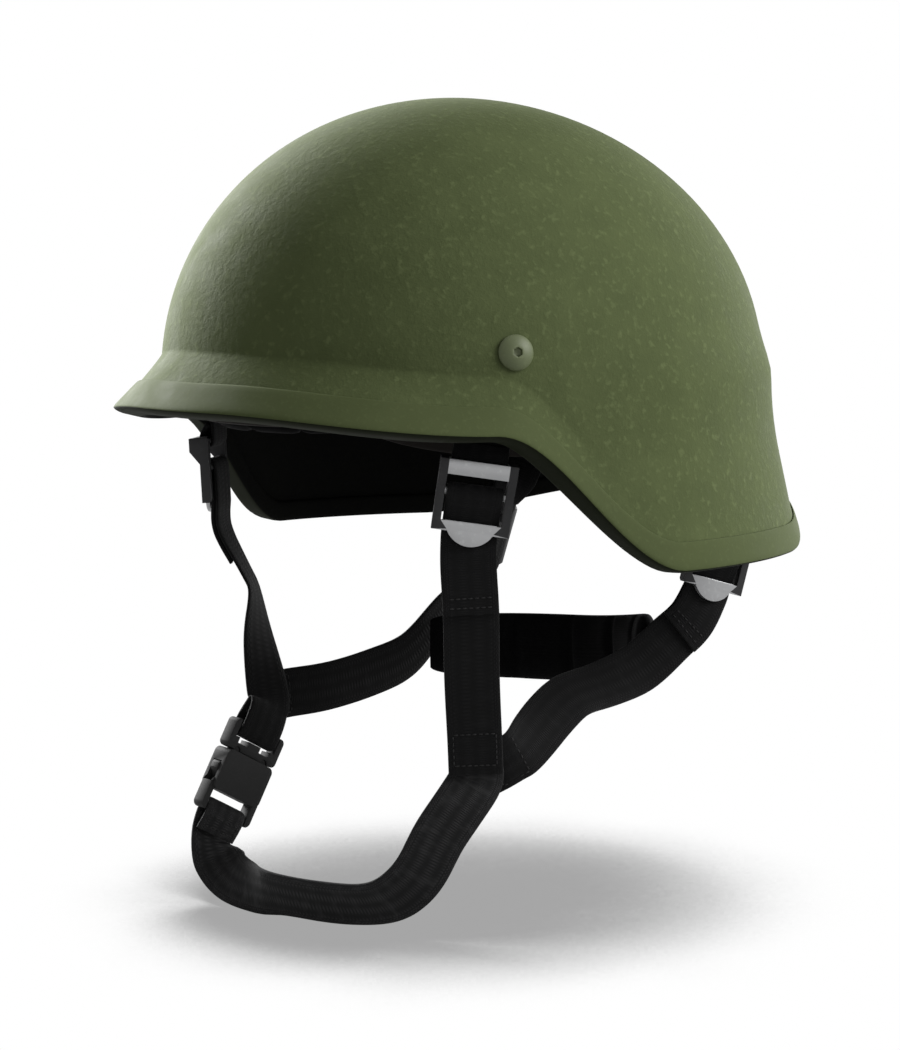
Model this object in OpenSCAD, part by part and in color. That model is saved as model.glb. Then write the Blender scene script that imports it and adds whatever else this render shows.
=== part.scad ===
// Combat helmet: laminate shell, liner and four-point chin harness.
// The wearer faces -Y, the wearer's left is +X, and the origin lies on the shell's axis
// just above its widest line. All lengths are in millimetres.

/* [Shell] */
// Half of the shell's length at its widest line, without the visor
shell_half_l = 123.5; // [116:0.5:132]
// Half of the shell's width there
shell_half_w = 107.5; // [102:0.5:114]
// Height of the crown above the widest line
crown_h = 105.5; // [98:0.5:112]
// How far the crown leans towards the brow
crown_lean = 6; // [0:0.5:9]
// Drop of the widest line below the origin
equator_drop = 6.5; // [3:0.5:10]
// Outward slope of the wall below the widest line
wall_slope = 0.22; // [0.14:0.01:0.28]
// Thickness of the laminate
shell_t = 8.5; // [7.5:0.1:9.5]

/* [Rim] */
// Drop of the brow rim below the origin
brow_drop = 15.2; // [12:0.1:19]
// Drop of the rim at the temples
temple_drop = 22; // [19:0.5:24]
// Drop of the rim at the ears
ear_drop = 71.5; // [66:0.5:76]
// Drop of the rim at the nape
nape_drop = 57; // [53:0.5:64]
// Tilt of the cut edge, from square to the wall at 0 to level at 1
cut_level = 0.6; // [0:0.1:1]
// Angle from the brow at which the temple rim starts to fall
ear_start = 53.5; // [50:0.5:56]
// Angle from the brow at which the rim reaches the ear
ear_end = 88; // [84:1:94]

/* [Visor and bulges] */
// How far the visor stands out at the brow
visor_reach = 16.6; // [12:0.1:20]
// Height of the visor's slope above the rim
visor_h = 19.5; // [17:0.5:25]
// Softness of the crease above the visor, where 1 is a sharp fold
visor_crease = 1.15; // [1.1:0.05:1.6]
// How far the ear sections bulge
ear_bulge = 5.5; // [3:0.5:8]
// Height of the top of the ear bulge above the origin
ear_top = 14; // [10:0.5:18]
// Height over which the ear bulge grows
ear_shoulder = 22; // [16:1:28]
// Outward turn of the nape rim
nape_lip = 2.5; // [1:0.5:4]

/* [Edge trim] */
// Thickness of the trim's two lips
trim_t = 1.1; // [0.8:0.1:1.6]
// Depth of its outer lip
trim_out_h = 9; // [8:0.5:10]
// Depth of its inner lip
trim_in_h = 7; // [5.5:0.5:7.5]
// Thickness of its web below the cut edge
trim_web = 2; // [1.4:0.1:3]

/* [Bolts] */
// Angle of the front bolts from the brow
bolt_front_a = 57.5; // [55:0.5:60]
// Height of the front bolts above the origin
bolt_front_z = 5.5; // [3:0.5:8]
// Angle of the rear bolts from the brow
bolt_rear_a = 146; // [143:0.5:149]
// Height of the rear bolts, below the origin
bolt_rear_z = -38; // [-41:0.5:-35]
// Diameter of a bolt's shank
bolt_d = 5; // [4:0.5:6]
// Diameter of its low domed head
bolt_head_d = 13; // [11:0.5:15]
// Height of the head
bolt_head_h = 2.8; // [2:0.1:3.6]
// Width across the flats of its socket
bolt_socket = 3; // [2.5:0.5:4]
// Radial clearance of a bolt in its holes
bolt_play = 0.25; // [0.15:0.05:0.4]
// Width across the flats of a nut
nut_af = 8; // [7:0.5:10]
// Thickness of a nut
nut_t = 4; // [3:0.5:5]
// Diameter of a washer
washer_d = 13; // [11:0.5:15]
// Thickness of a washer
washer_t = 1.2; // [0.8:0.1:1.6]

/* [Webbing] */
// Width of the harness webbing
web_w = 20; // [18:0.5:21]
// Thickness of the webbing
web_t = 1.6; // [1.2:0.1:2]
// Gap between layers that lie on each other
lay_gap = 0.3; // [0.2:0.05:0.4]

/* [Ladder locks] */
// Clear width between a lock's side bars
lock_clear_w = 21.6; // [21.2:0.1:23]
// Width of a side bar
lock_side_w = 3; // [2.5:0.5:5]
// Thickness of the frame
lock_t = 3; // [2.5:0.1:3.6]
// Diameter of the hanger bar and the middle bar
lock_bar_d = 3; // [2.5:0.1:3.2]
// Height of the broad grip bar
lock_grip_h = 5.3; // [4.5:0.1:6]
// Distance from the hanger bar down to the middle bar
lock_middle = 10.5; // [10:0.1:13]
// Distance from the hanger bar down to the lower bar
lock_lower = 21; // [20.5:0.5:23]
// Length of the lever lip, with its lower bar
lock_lip_h = 8.5; // [7:0.5:10]
// Turn of the front locks from the brow
lock_front_turn = 51; // [47:1:55]
// Slant of the left front lock
lock_front_roll = 8; // [4:1:12]
// Turn of the rear locks from the brow
lock_rear_turn = 76; // [70:1:82]
// Slant of the rear locks
lock_rear_roll = 16; // [10:1:18]

/* [Liner] */
// Height of the suspension band
band_w = 21; // [20:0.5:24]
// Thickness of the suspension band
band_t = 2; // [1.6:0.1:2.4]
// Rise of the band's middle at the brow
band_brow_z = 9; // [7:0.5:11]
// Distance from the suspension band in to the headband
headband_gap = 9; // [7:0.5:11]
// Height of the headband
headband_w = 28; // [24:1:30]
// Rise of the headband above the suspension band at the nape
headband_rise = 6; // [4:0.5:8]
// Thickness of the headband
headband_t = 3; // [2.4:0.1:3.6]
// Thickness of the brow pad at its middle
brow_pad_t = 7; // [5:0.5:8]
// Width of a crown strap
crown_strap_w = 18; // [14:1:20]
// Distance of the crown straps from the shell
crown_gap = 16; // [14:0.5:18]
// Middle radius of the ring that joins the crown straps
crown_ring_r = 30; // [26:1:34]
// Thickness of that ring
crown_ring_t = 2; // [1.5:0.1:3]
// Thickness of the crown pad
crown_pad_t = 8; // [6:0.5:10]
// Radius of the crown pad
crown_pad_r = 42; // [36:1:46]

/* [Nape pad] */
// Height of the nape pad
nape_pad_h = 28; // [24:1:32]
// Thickness of the nape pad at its crown
nape_pad_t = 9; // [7:0.5:11]
// Number of sewn channels in the pad
nape_channels = 4; // [2:1:6]

/* [Buckle] */
// Width of the buckle
buckle_w = 27; // [26:0.5:30]
// Thickness of the female half
buckle_t = 8.6; // [8.4:0.1:10]
// Wall of the female half
buckle_wall = 1.8; // [1.6:0.1:2]
// Distance between the buckle's two webbing bars
buckle_span = 33; // [32.5:0.5:35]
// Diameter of those bars
buckle_bar_d = 3.2; // [2.8:0.1:3.4]

/* [Hidden] */

olive = [0.36, 0.39, 0.26];
black = [0.07, 0.07, 0.075];
metal = [0.45, 0.46, 0.47];
leather = [0.16, 0.13, 0.10];
around = 72;             // steps round the shell
// Angles from the brow: where the rim starts to fall, where it rises to the nape, and where the bulges
// give way to the back
temple_start = 8;
nape_start = 122;
nape_end = 165;
back_start = 125;
back_end = 150;
nape_lip_h = 14;
dome_rows = 9;           // rows of the dome above the skirt
seat = 0.3;              // gap between pieces that lie against each other
left = 1;
right = -1;
trim_gap = 0.25;
rim_room = 0.75;         // room under the cut edge, which twists where the rim falls
head_seat = seat + 0.35; // under the flat heads
curve_room = 0.7;        // extra room where flat pieces lie on the curved wall
flat_room = 1.4;         // the same for webbing
// Distances inwards from the shell's outer face of what lies on its inner face
hanger_in = shell_t + seat + flat_room + web_t/2;
band_out = hanger_in + web_t/2 + seat + curve_room;
band_in = band_out + band_t;
washer_top = band_in + curve_room + 0.2 + washer_t;
nut_top = washer_top + 0.2 + nut_t;
headband_out = band_in + headband_gap;
band_lift = 4;           // rise of the band's middle above the rear bolts
band_start = 40;
band_end = 140;
clip_angles = [28, 100, bolt_rear_a + 19];
clip_w = 9;
clip_h = 10;
crown_strap_angles = [0, 78, 122, 180, 238, 282];
crown_ring_z = crown_h - equator_drop - shell_t - crown_gap - 8;
// Ladder locks: where each hangs, seen on the left side, its turn, its slant and its swing inwards
front_lock_l = [[shell_half_w - 27.4, 58.9 - shell_half_l, -34], lock_front_turn, lock_front_roll, 0];
front_lock_r = [[shell_half_w - 27.1, 59.6 - shell_half_l, -34], lock_front_turn, 0, 3];
rear_lock_l = [[shell_half_w - 40.8, shell_half_l - 46.8, -67.8], lock_rear_turn, lock_rear_roll, 0];
rear_lock_r = [[shell_half_w - 40.8, shell_half_l - 46.8, -67.8], lock_rear_turn, lock_rear_roll + 3, -6];
grip_top = 1.1;          // top of the grip bar, which hides the hanger's loop
grip_out = lock_bar_d/2 + web_t + seat + 0.9;
grip_t = 2;
lower_bar_t = 2;
// Lanes of the webbing behind the lower bar: the tail next to it, the loaded part behind
tail_out = lock_t/2 + 0.8 - lower_bar_t - seat - web_t/2;
load_out = tail_out - web_t - lay_gap;
// Routes of the straps below the locks, each with the direction of its width
front_route_left = [[76.5, -66.5, -70], [78, -66.5, -87], [72, -60.7, -112], [66, -54, -136],
                    [62.7, -50.5, -149.5]];
front_turns_left = [facing(51), facing(51), facing(50), facing(50), facing(50)];
front_route_right = [[-78.5, -60, -70], [-76, -52.5, -86], [-74, -48.6, -96.5], [-69, -50.5, -115],
                     [-62.5, -51, -136]];
front_turns_right = [facing(130), facing(134), facing(132), facing(108), [0.1, 0.95, -0.2]];
rear_route_left = [[62, 63, -103], [59, 54, -111], [56, 40, -121], [56, 20, -125.5], [58.4, 2, -127],
                   [62.5, -12, -131.5], [66.5, -24, -137], [69.2, -33.4, -142], [68, -37.9, -144.7],
                   [65, -41.9, -147.7], [61.1, -45, -150.5]];
rear_turns_left = [[0.35, 0.8, -0.5], [0.5, 0.6, -0.7], [0.55, 0.3, -0.8], [0.7, 0, -0.7],
                   [0.75, -0.1, -0.65], [0.65, 0.1, -0.7], [0.5, 0.35, -0.75], [0.2, 0.57, -0.8],
                   [0.12, 0.62, -0.81], [0.12, 0.62, -0.81], [0.12, 0.62, -0.81]];
rear_route_right = [[-66, 59, -103], [-68.5, 47, -113], [-69, 29, -129], [-68, 8, -134.5],
                    [-66.5, -17, -137.5], [-68.2, -36, -138.3], [-67.6, -44, -138.6], [-67.2, -51, -138.8]];
rear_turns_right = [[-0.35, 0.8, -0.5], [-0.3, 0.6, -0.7], [-0.1, 0.4, -0.9], [0.05, 0, -1],
                    [0.05, -0.05, -1], [0.1, 0, -1], [0.1, -0.03, -0.97], [0.1, -0.03, -0.97]];
nape_route = [[52.7, 46.2, -113.4], [40, 59, -117], [22, 69, -120.5], [0, 73, -123.5], [-22, 70, -125],
              [-42, 59, -125.5], [-66, 37.8, -125.6]];
chin_route = [[64.3, -52.6, -134], [61.9, -49.8, -147], [60.8, -49, -152.5], [59.2, -54.5, -160.5],
              [54, -61, -173], [47, -66, -189], [33, -70.5, -200], [10, -77, -203.5], [-15, -84, -203.5],
              [-31, -83.5, -204], [-45, -83, -202.5], [-55.5, -81.5, -198]];
chin_turns = [facing(50), facing(50), facing(50), [0.6, 0.65, -0.45], [0.58, 0.6, -0.55],
              [0.4, 0.55, -0.72], [0.1, 0.55, -0.8], [-0.3, 0.35, -0.85], [-0.38, 0.3, -0.85],
              [-0.45, 0, -0.85], [-0.55, -0.4, -0.7], [-0.4, -0.85, -0.2]];
// The buckle hangs turned and slanted from the right front strap
buckle_at = [-61, -58.8, -152];
buckle_turn = 91;
buckle_lean = 2;
buckle_roll = 29;
bar_turn = buckle_bar_d/2 + seat + web_t/2;
web_slot_w = web_w + 1.6;
male_slot_low = -buckle_bar_d/2 - web_t - seat - 0.4;
male_window_low = male_slot_low - 2.2;
male_root = male_window_low - 3;
mouth_z = male_root - 0.4;
mouth_x = buckle_w/2 - 1 - buckle_wall;
male_window_x = 5.9;
male_window_w = 5.4;
arm_t = 4.4;
arm_pivot_x = 7.6;
arm_knuckle_r = 1.5;
pocket_t = arm_t + 0.8;
barb_x = buckle_w/2 - 0.4;
barb_z = mouth_z - 6.2;
arm_tip = barb_z - 8.2;
pocket_low = arm_tip - 0.9;

// Small vector helpers
function unit(v) = v/norm(v);
function ease(a, b, x) = let(t = max(0, min(1, (x - a)/(b - a)))) t*t*(3 - 2*t);
function mix(a, b, t) = a + (b - a)*t;
function mirrored(v, side) = [side*v[0], v[1], v[2]];

// Angle away from the brow, 0 to 180 on both sides
function aside(th) = abs(((th + 540) % 360) - 180);

// The shell: an ellipse in plan, drawn in over the crown and flared at the rim
function plan_r(th) = 1/sqrt(pow(sin(th)/shell_half_w, 2) + pow(cos(th)/shell_half_l, 2));
function rise(z) = max(0, min(1, (z + equator_drop)/crown_h));
function rim_z(th) = let(a = aside(th))
    -brow_drop
    - (temple_drop - brow_drop)*ease(temple_start, ear_start, a)
    - (ear_drop - temple_drop)*ease(ear_start, ear_end, a)
    + (ear_drop - nape_drop)*ease(nape_start, nape_end, a);
function wall_out(z) = let(d = max(0, -equator_drop - z), soft = 30)
    wall_slope*(d < soft ? d*d/(2*soft) : d - soft/2);
function visor_out(th, z) = let(u = (rim_z(th) + visor_h - z)/visor_h)
    visor_reach*(1 - ease(28, 82, aside(th)))*pow(max(0, min(1.3, u)), visor_crease);
function ear_out(th, z) = let(a = aside(th), top = ear_top - 14*(1 - ease(64, 94, a)))
    ear_bulge*ease(60, 95, a)*(1 - ease(back_start, back_end, a))*ease(0, ear_shoulder, top - z);
function nape_out(th, z) = nape_lip*ease(back_start, back_end, aside(th))
    *ease(0, nape_lip_h, rim_z(th) + nape_lip_h - z);
function shell_r(th, z) = plan_r(th)*sqrt(1 - pow(rise(z), 2))
    + wall_out(z) + visor_out(th, z) + ear_out(th, z) + nape_out(th, z);
function at_shell(th, z) = let(r = shell_r(th, z))
    [r*sin(th), -r*cos(th) - crown_lean*pow(rise(z), 2), z];
function shell_normal(th, z) =
    unit(cross(at_shell(th + 1, z) - at_shell(th - 1, z),
               at_shell(th, z + 0.5) - at_shell(th, z - 0.5)));
function skin(th, z, out) = at_shell(th, z) + out*shell_normal(th, z);
function shell_side(th, z) = let(n = shell_normal(th, z)) unit([-n[1], n[0], 0]);
function rim_down(th) = let(z = rim_z(th)) unit(at_shell(th, z) - at_shell(th, z + 1));

// The inner face starts this much higher than a square cut would leave it
function lift(th, h) = cut_level*shell_t*shell_normal(th, rim_z(th))[2]*max(0, 1 - h/(1.25*visor_h));
function inner_face(th, h, out) = skin(th, rim_z(th) + h + lift(th, h), -shell_t - out);
function cut_edge(th, f, drop) = mix(skin(th, rim_z(th), 0), inner_face(th, 0, 0), f) - [0, 0, drop];

// Rows of the shell: heights above the rim over the visor, then even steps up the dome
skirt = [0, trim_in_h/2, trim_in_h, trim_out_h, mix(trim_out_h, visor_h, 0.35), mix(trim_out_h, visor_h, 0.7),
         visor_h, visor_h*1.25];
crown_top = crown_h - equator_drop;
function row_z(th, i) = let(n = len(skirt))
    i < n ? rim_z(th) + skirt[i]
          : let(base = rim_z(th) + skirt[n - 1])
            base + (crown_top - base)*sin(90*(i - n + 1)/(dome_rows + 1));
row_count = len(skirt) + dome_rows;
function shell_row(i, out) = [for (k = [0:around - 1]) let(th = k*360/around)
    out < 0 && i < len(skirt) ? inner_face(th, skirt[i], 0) : skin(th, row_z(th, i), out)];

// Closed rings of points, joined one to the next
function ring_faces(n, rows) = [for (i = [0:rows - 2], k = [0:n - 1])
    let(a = i*n + k, b = i*n + (k + 1) % n, c = a + n, d = b + n) each [[a, b, d], [a, d, c]]];
function fan(n, first, apex, flip) = [for (k = [0:n - 1])
    let(a = first + k, b = first + (k + 1) % n) flip ? [b, a, apex] : [a, b, apex]];

// A solid from open rings that ends in two points
module pointed_solid(rings, start, end) {
    n = len(rings[0]);
    m = len(rings);
    points = concat([for (r = rings) each r], [start, end]);
    polyhedron(points, concat(ring_faces(n, m), fan(n, 0, n*m, true), fan(n, n*(m - 1), n*m + 1, false)));
}

// A solid from closed loops that run once round the shell
module looped_solid(loops) {
    n = len(loops[0]);
    m = len(loops);
    faces = [for (i = [0:m - 1], k = [0:n - 1])
        let(a = i*n + k, b = i*n + (k + 1) % n, c = ((i + 1) % m)*n + k, d = ((i + 1) % m)*n + (k + 1) % n)
        each [[a, d, b], [a, c, d]]];
    polyhedron([for (l = loops) each l], faces);
}

// A smooth path through chosen points
function between(p, i) = p[max(0, min(len(p) - 1, i))];
function spline_at(p, i, t) =
    let(a = between(p, i - 1), b = p[i], c = between(p, i + 1), d = between(p, i + 2))
    0.5*(2*b + (c - a)*t + (2*a - 5*b + 4*c - d)*t*t + (3*b - a - 3*c + d)*t*t*t);
function spline(p, steps) = concat(
    [for (i = [0:len(p) - 2], k = [0:steps - 1]) spline_at(p, i, k/steps)], [p[len(p) - 1]]);
function along(p, i) = unit(between(p, i + 1) - between(p, i - 1));

// A flat ribbon along a path, with a width direction at each point
module ribbon(path, across, w, t) {
    loops = [for (i = [0:len(path) - 1])
        let(d = along(path, i), raw = across[i], a = unit(raw - (raw*d)*d), n = cross(d, a),
            p = path[i], x = a*w/2, y = n*t/2)
        [p - x - y, p - x + y, p + x + y, p + x - y]];
    m = len(loops);
    faces = concat([[3, 2, 1], [3, 1, 0]],
        [for (f = ring_faces(4, m)) f],
        [let(e = 4*(m - 1)) [e, e + 1, e + 2], let(e = 4*(m - 1)) [e, e + 2, e + 3]]);
    polyhedron([for (l = loops) each l], faces);
}

module on_shell(th, z, out) {
    p = skin(th, z, out);
    n = shell_normal(th, z);
    translate(p) rotate([0, 0, atan2(n[1], n[0])]) rotate([0, acos(n[2]), 0]) children();
}

module shell() {
    outer = [for (i = [row_count - 1:-1:0]) shell_row(i, 0)];
    inner = [for (i = [0:row_count - 1]) shell_row(i, -shell_t)];
    top = [0, -crown_lean, crown_top];
    color(olive) difference() {
        pointed_solid(concat(outer, inner), top, top - [0, 0, shell_t]);
        bolt_holes();
    }
}

// The trim: a channel whose web covers the cut edge between two lips, the outer one feathered
function trim_section(th) = let(z = rim_z(th), half = trim_in_h/2, g = trim_gap, thick = trim_t + g,
        slide = rim_down(th), steep = -slide[2])
    [skin(th, z + trim_out_h, g), skin(th, z + trim_out_h - 0.4, g + 0.4),
     skin(th, z + half, thick), skin(th, z, thick) + slide*0.3, skin(th, z, g) + slide*1.1*trim_web,
     cut_edge(th, 0.3, trim_web), cut_edge(th, 0.8, trim_web), inner_face(th, 0, thick) + slide*0.5*trim_web,
     inner_face(th, half, thick), inner_face(th, trim_in_h, trim_t),
     inner_face(th, trim_in_h, g), inner_face(th, half, g), inner_face(th, 0, g) - [0, 0, rim_room],
     skin(th, z, g) + slide*rim_room/steep, skin(th, z + half, g), skin(th, z + trim_in_h, g)];

module edge_trim() {
    color(olive) looped_solid([for (k = [0:around - 1]) trim_section(k*360/around)]);
}

// The four bolts, and what lies on them
module at_bolts(out) {
    for (side = [left, right]) {
        on_shell(side*bolt_front_a, bolt_front_z, out) children();
        on_shell(side*bolt_rear_a, bolt_rear_z, out) children();
    }
}

module bolt_holes() {
    at_bolts(-nut_top) cylinder(h = nut_top + bolt_head_d, d = bolt_d + 2*bolt_play, $fn = 32);
}

module strap_bolts() {
    dome_r = (pow(bolt_head_d/2, 2) + pow(bolt_head_h, 2))/(2*bolt_head_h);
    color(olive) at_bolts(head_seat) difference() {
        union() {
            intersection() {
                translate([0, 0, bolt_head_h - dome_r]) sphere(r = dome_r, $fn = 48);
                cylinder(h = bolt_head_h, d = bolt_head_d + 1, $fn = 48);
            }
            translate([0, 0, -nut_top - head_seat - 1])
                cylinder(h = nut_top + head_seat + 1.5, d = bolt_d, $fn = 32);
        }
        translate([0, 0, bolt_head_h - 1.6]) cylinder(h = 3, d = bolt_socket/cos(30), $fn = 6);
    }
}

module bolt_washers() {
    color(metal) at_bolts(-washer_top) difference() {
        cylinder(h = washer_t, d = washer_d, $fn = 40);
        translate([0, 0, -1]) cylinder(h = washer_t + 2, d = bolt_d + 2*bolt_play, $fn = 32);
    }
}

module bolt_nuts() {
    color(metal) at_bolts(-nut_top) difference() {
        cylinder(h = nut_t, d = nut_af/cos(30), $fn = 6);
        translate([0, 0, -1]) cylinder(h = nut_t + 2, d = bolt_d + 0.2, $fn = 32);
    }
}

// Liner rings follow the wall from the brow down to the nape
function band_z(th) = mix(band_brow_z, bolt_rear_z + band_lift, ease(band_start, band_end, aside(th)));

module suspension_band() {
    color(black) difference() {
        looped_solid([for (k = [0:around - 1]) let(th = k*360/around, z = band_z(th), h = band_w/2)
            [skin(th, z + h, -band_out), skin(th, z, -band_out), skin(th, z - h, -band_out),
             skin(th, z - h, -band_in), skin(th, z, -band_in), skin(th, z + h, -band_in)]]);
        bolt_holes();
    }
}

function headband_z(th) = band_z(th) + headband_rise*ease(60, 150, aside(th));

module headband() {
    o = headband_out;
    color(leather) looped_solid([for (k = [0:around - 1])
        let(th = k*360/around, z = headband_z(th), h = headband_w/2)
        [skin(th, z + h - 1, -o), skin(th, z, -o), skin(th, z - h + 1, -o),
         skin(th, z - h, -o - headband_t*0.4), skin(th, z - h + 1.5, -o - headband_t*0.8),
         skin(th, z, -o - headband_t), skin(th, z + h - 1.5, -o - headband_t*0.8),
         skin(th, z + h, -o - headband_t*0.4)]]);
}

// Folded clips that hook the headband to the suspension band
module headband_clips() {
    depth = headband_gap - 2*(seat + curve_room) - 0.6;
    color(metal) for (side = [left, right], a = clip_angles)
        on_shell(side*a, band_z(a) + 1, -headband_out + seat + curve_room + 0.6) difference() {
            translate([-clip_h/2, -clip_w/2, 0]) cube([clip_h, clip_w, depth]);
            translate([-clip_h/2 + 1.2, -clip_w/2 - 1, 1.2]) cube([clip_h - 2.4, clip_w + 2, depth - 2.4]);
        }
}

module brow_pad() {
    o = headband_out + headband_t + 2*seat + flat_room;
    h = headband_w/2 - 2;
    spread = 44;
    steps = 16;
    rings = [for (k = [0:steps]) let(f = 1 - 2*k/steps, th = f*spread, z = band_z(th),
            e = sqrt(1 - pow(abs(f)*0.97, 4)), t = brow_pad_t*e, m = h*mix(0.75, 1, e))
        [skin(th, z + m, -o - 0.3*t), skin(th, z + m*0.7, -o), skin(th, z - m*0.7, -o),
         skin(th, z - m, -o - 0.3*t), skin(th, z - m*0.8, -o - 0.75*t), skin(th, z - m*0.3, -o - t),
         skin(th, z + m*0.3, -o - t), skin(th, z + m*0.8, -o - 0.75*t)]];
    first = skin(spread + 1.5, band_z(spread), -o - 1);
    last = skin(-spread - 1.5, band_z(spread), -o - 1);
    color(black) pointed_solid(rings, first, last);
}

// Straps rise from the band and are stitched to a ring under the crown
module crown_straps() {
    lie = band_in + seat + flat_room + web_t/2;
    color(black) for (th = crown_strap_angles) {
        z = band_z(th);
        end = [(crown_ring_r + 6)*sin(th), -(crown_ring_r + 6)*cos(th) - crown_lean, crown_ring_z];
        knee = [(crown_ring_r + 17)*sin(th), -(crown_ring_r + 17)*cos(th) - crown_lean, crown_ring_z + 0.2];
        path = spline([skin(th, z - band_w/2 + 4, -lie), skin(th, z, -lie), skin(th, z + band_w/2, -lie - 1),
                       skin(th, 48, -shell_t - crown_gap), knee, end], 3);
        m = len(path) - 1;
        turns = [for (i = [0:m]) mix(shell_side(th, z), [cos(th), sin(th), 0], i/m)];
        ribbon(path, turns, crown_strap_w, web_t);
    }
}

module crown_ring() {
    color(leather) translate([0, -crown_lean, crown_ring_z - web_t/2 - seat - crown_ring_t]) difference() {
        cylinder(h = crown_ring_t, r = crown_ring_r + 14, $fn = 72);
        translate([0, 0, -1]) cylinder(h = crown_ring_t + 2, r = crown_ring_r - 14, $fn = 48);
    }
}

module crown_pad() {
    n = 36;
    top = crown_ring_z - web_t/2 - 2*seat - crown_ring_t;
    profile = [[0.5, 0], [0.94, 0], [1, 0.3], [0.97, 0.65], [0.8, 0.9], [0.5, 1]];
    color(black) translate([0, -crown_lean, top])
        pointed_solid([for (q = profile) [for (k = [0:n - 1])
            [crown_pad_r*q[0]*sin(k*360/n), -crown_pad_r*q[0]*cos(k*360/n), -crown_pad_t*q[1]]]],
            [0, 0, 0], [0, 0, -crown_pad_t]);
}

// Frame of a ladder lock: x across, y inwards and z up, with the hanger bar at its origin
function about_x(v, a) = [v[0], v[1]*cos(a) - v[2]*sin(a), v[1]*sin(a) + v[2]*cos(a)];
function about_y(v, a) = [v[0]*cos(a) + v[2]*sin(a), v[1], v[2]*cos(a) - v[0]*sin(a)];
function about_z(v, a) = [v[0]*cos(a) - v[1]*sin(a), v[0]*sin(a) + v[1]*cos(a), v[2]];
function lock_vector(l, v) = about_z(about_y(about_x(v, l[3]), l[2]), l[1]);
function lock_point(l, side, out, z) = mirrored(l[0] + lock_vector(l, [0, -out, z]), side);
function lock_across(l, side) = mirrored(lock_vector(l, [1, 0, 0]), side);

module at_lock(l, side) {
    mirror([side == left ? 0 : 1, 0, 0])
        translate(l[0]) rotate([0, 0, l[1]]) rotate([0, l[2], 0]) rotate([l[3], 0, 0]) children();
}

module ladder_lock() {
    reach = lock_clear_w/2 + lock_side_w;
    lip_half = lock_clear_w/2 - 1.6;
    lip_r = (pow(lip_half, 2) + pow(lock_lip_h, 2))/(2*lock_lip_h);
    lip_out = -lock_t/2 - 0.8;
    foot = -lock_lower - 3.5;
    grip_low = grip_top - lock_grip_h;
    color(metal) {
        // side plates, deep where they carry the grip bar in front of the hanger's loop
        for (s = [-1, 1]) translate([s*(reach - lock_side_w/2) - lock_side_w/2, 0, 0]) rotate([90, 0, 90])
            linear_extrude(lock_side_w) polygon(
                [[-grip_out - grip_t, grip_top], [lock_t/2 - 0.6, lock_bar_d/2 + 0.2], [lock_t/2, 0.6],
                 [lock_t/2, foot + 1], [lock_t/2 - 1, foot], [lip_out, foot], [lip_out, grip_low - 5],
                 [-grip_out - grip_t, grip_low]]);
        for (z = [0, -lock_middle]) translate([-reach + 1, 0, z]) rotate([0, 90, 0])
            cylinder(h = 2*reach - 2, d = lock_bar_d, $fn = 24);
        translate([-reach + 1, -grip_out - grip_t, grip_low]) cube([2*reach - 2, grip_t, lock_grip_h]);
        translate([-reach + 1, lip_out, foot]) cube([2*reach - 2, lower_bar_t, 3.5]);
        translate([0, lip_out + 1.6, foot + 0.5]) rotate([-8, 0, 0]) rotate([90, 0, 0])
            linear_extrude(1.6) intersection() {
                translate([0, 3 + lip_r - lock_lip_h]) circle(r = lip_r, $fn = 48);
                translate([-lip_half, 3 - lock_lip_h]) square([2*lip_half, lock_lip_h]);
            }
    }
}

// Short webbing from a bolt down the wall, turning as it comes free, and round a lock's hanger bar
module hanger(a, z, l, side) {
    turn = lock_bar_d/2 + seat + web_t/2;
    drift = (atan2(l[0][0], -l[0][1]) - a)/(l[0][2] - z);
    edge = band_z(a) - band_w/2 - 3 - z;
    wall = [for (d = [12, 6, 0, -5, mix(-5, edge, 0.4), edge]) [side*(a + drift*d), z + d]];
    on_wall = [for (i = [0:5]) skin(wall[i][0], wall[i][1], -hanger_in - [0, 0, 0, 0.1, 0.2, 0.4][i])];
    loop = [for (p = [[-turn, 4], [-turn, 0], [-turn*0.71, -turn*0.71], [0, -turn],
                      [turn*0.71, -turn*0.71], [turn, 0], [turn*0.8, 3], [-0.4, 6.5]])
        lock_point(l, side, p[0], p[1])];
    free = spline([on_wall[4], on_wall[5], loop[0], loop[1]], 5);
    start = shell_side(wall[5][0], wall[5][1]);
    finish = side*lock_across(l, side);
    lane = [for (k = [6:9]) free[k]];
    color(black) difference() {
        ribbon(concat(on_wall, lane, loop),
               concat([for (w = wall) shell_side(w[0], w[1])],
                      [for (k = [1:4]) unit(mix(start, finish, ease(0, 5, k)))],
                      [for (p = loop) finish]),
               web_w, web_t);
        bolt_holes();
    }
}

// Webbing through a lock: up behind the lower bar, round the middle bar and down again behind itself
function lock_wrap(l, side) = let(r = lock_bar_d/2 + seat + web_t/2, m = -lock_middle)
    [for (p = [[tail_out, -lock_lower - 4], [tail_out, -lock_lower],
               [0.3, m - 5.5], [r*0.71, m - r*0.71], [r, m], [r*0.71, m + r*0.71], [0, m + r],
               [-r*0.71, m + r*0.71], [-r, m], [load_out, m - 5], [load_out, -lock_lower - 4]])
        lock_point(l, side, p[0], p[1])];

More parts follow.
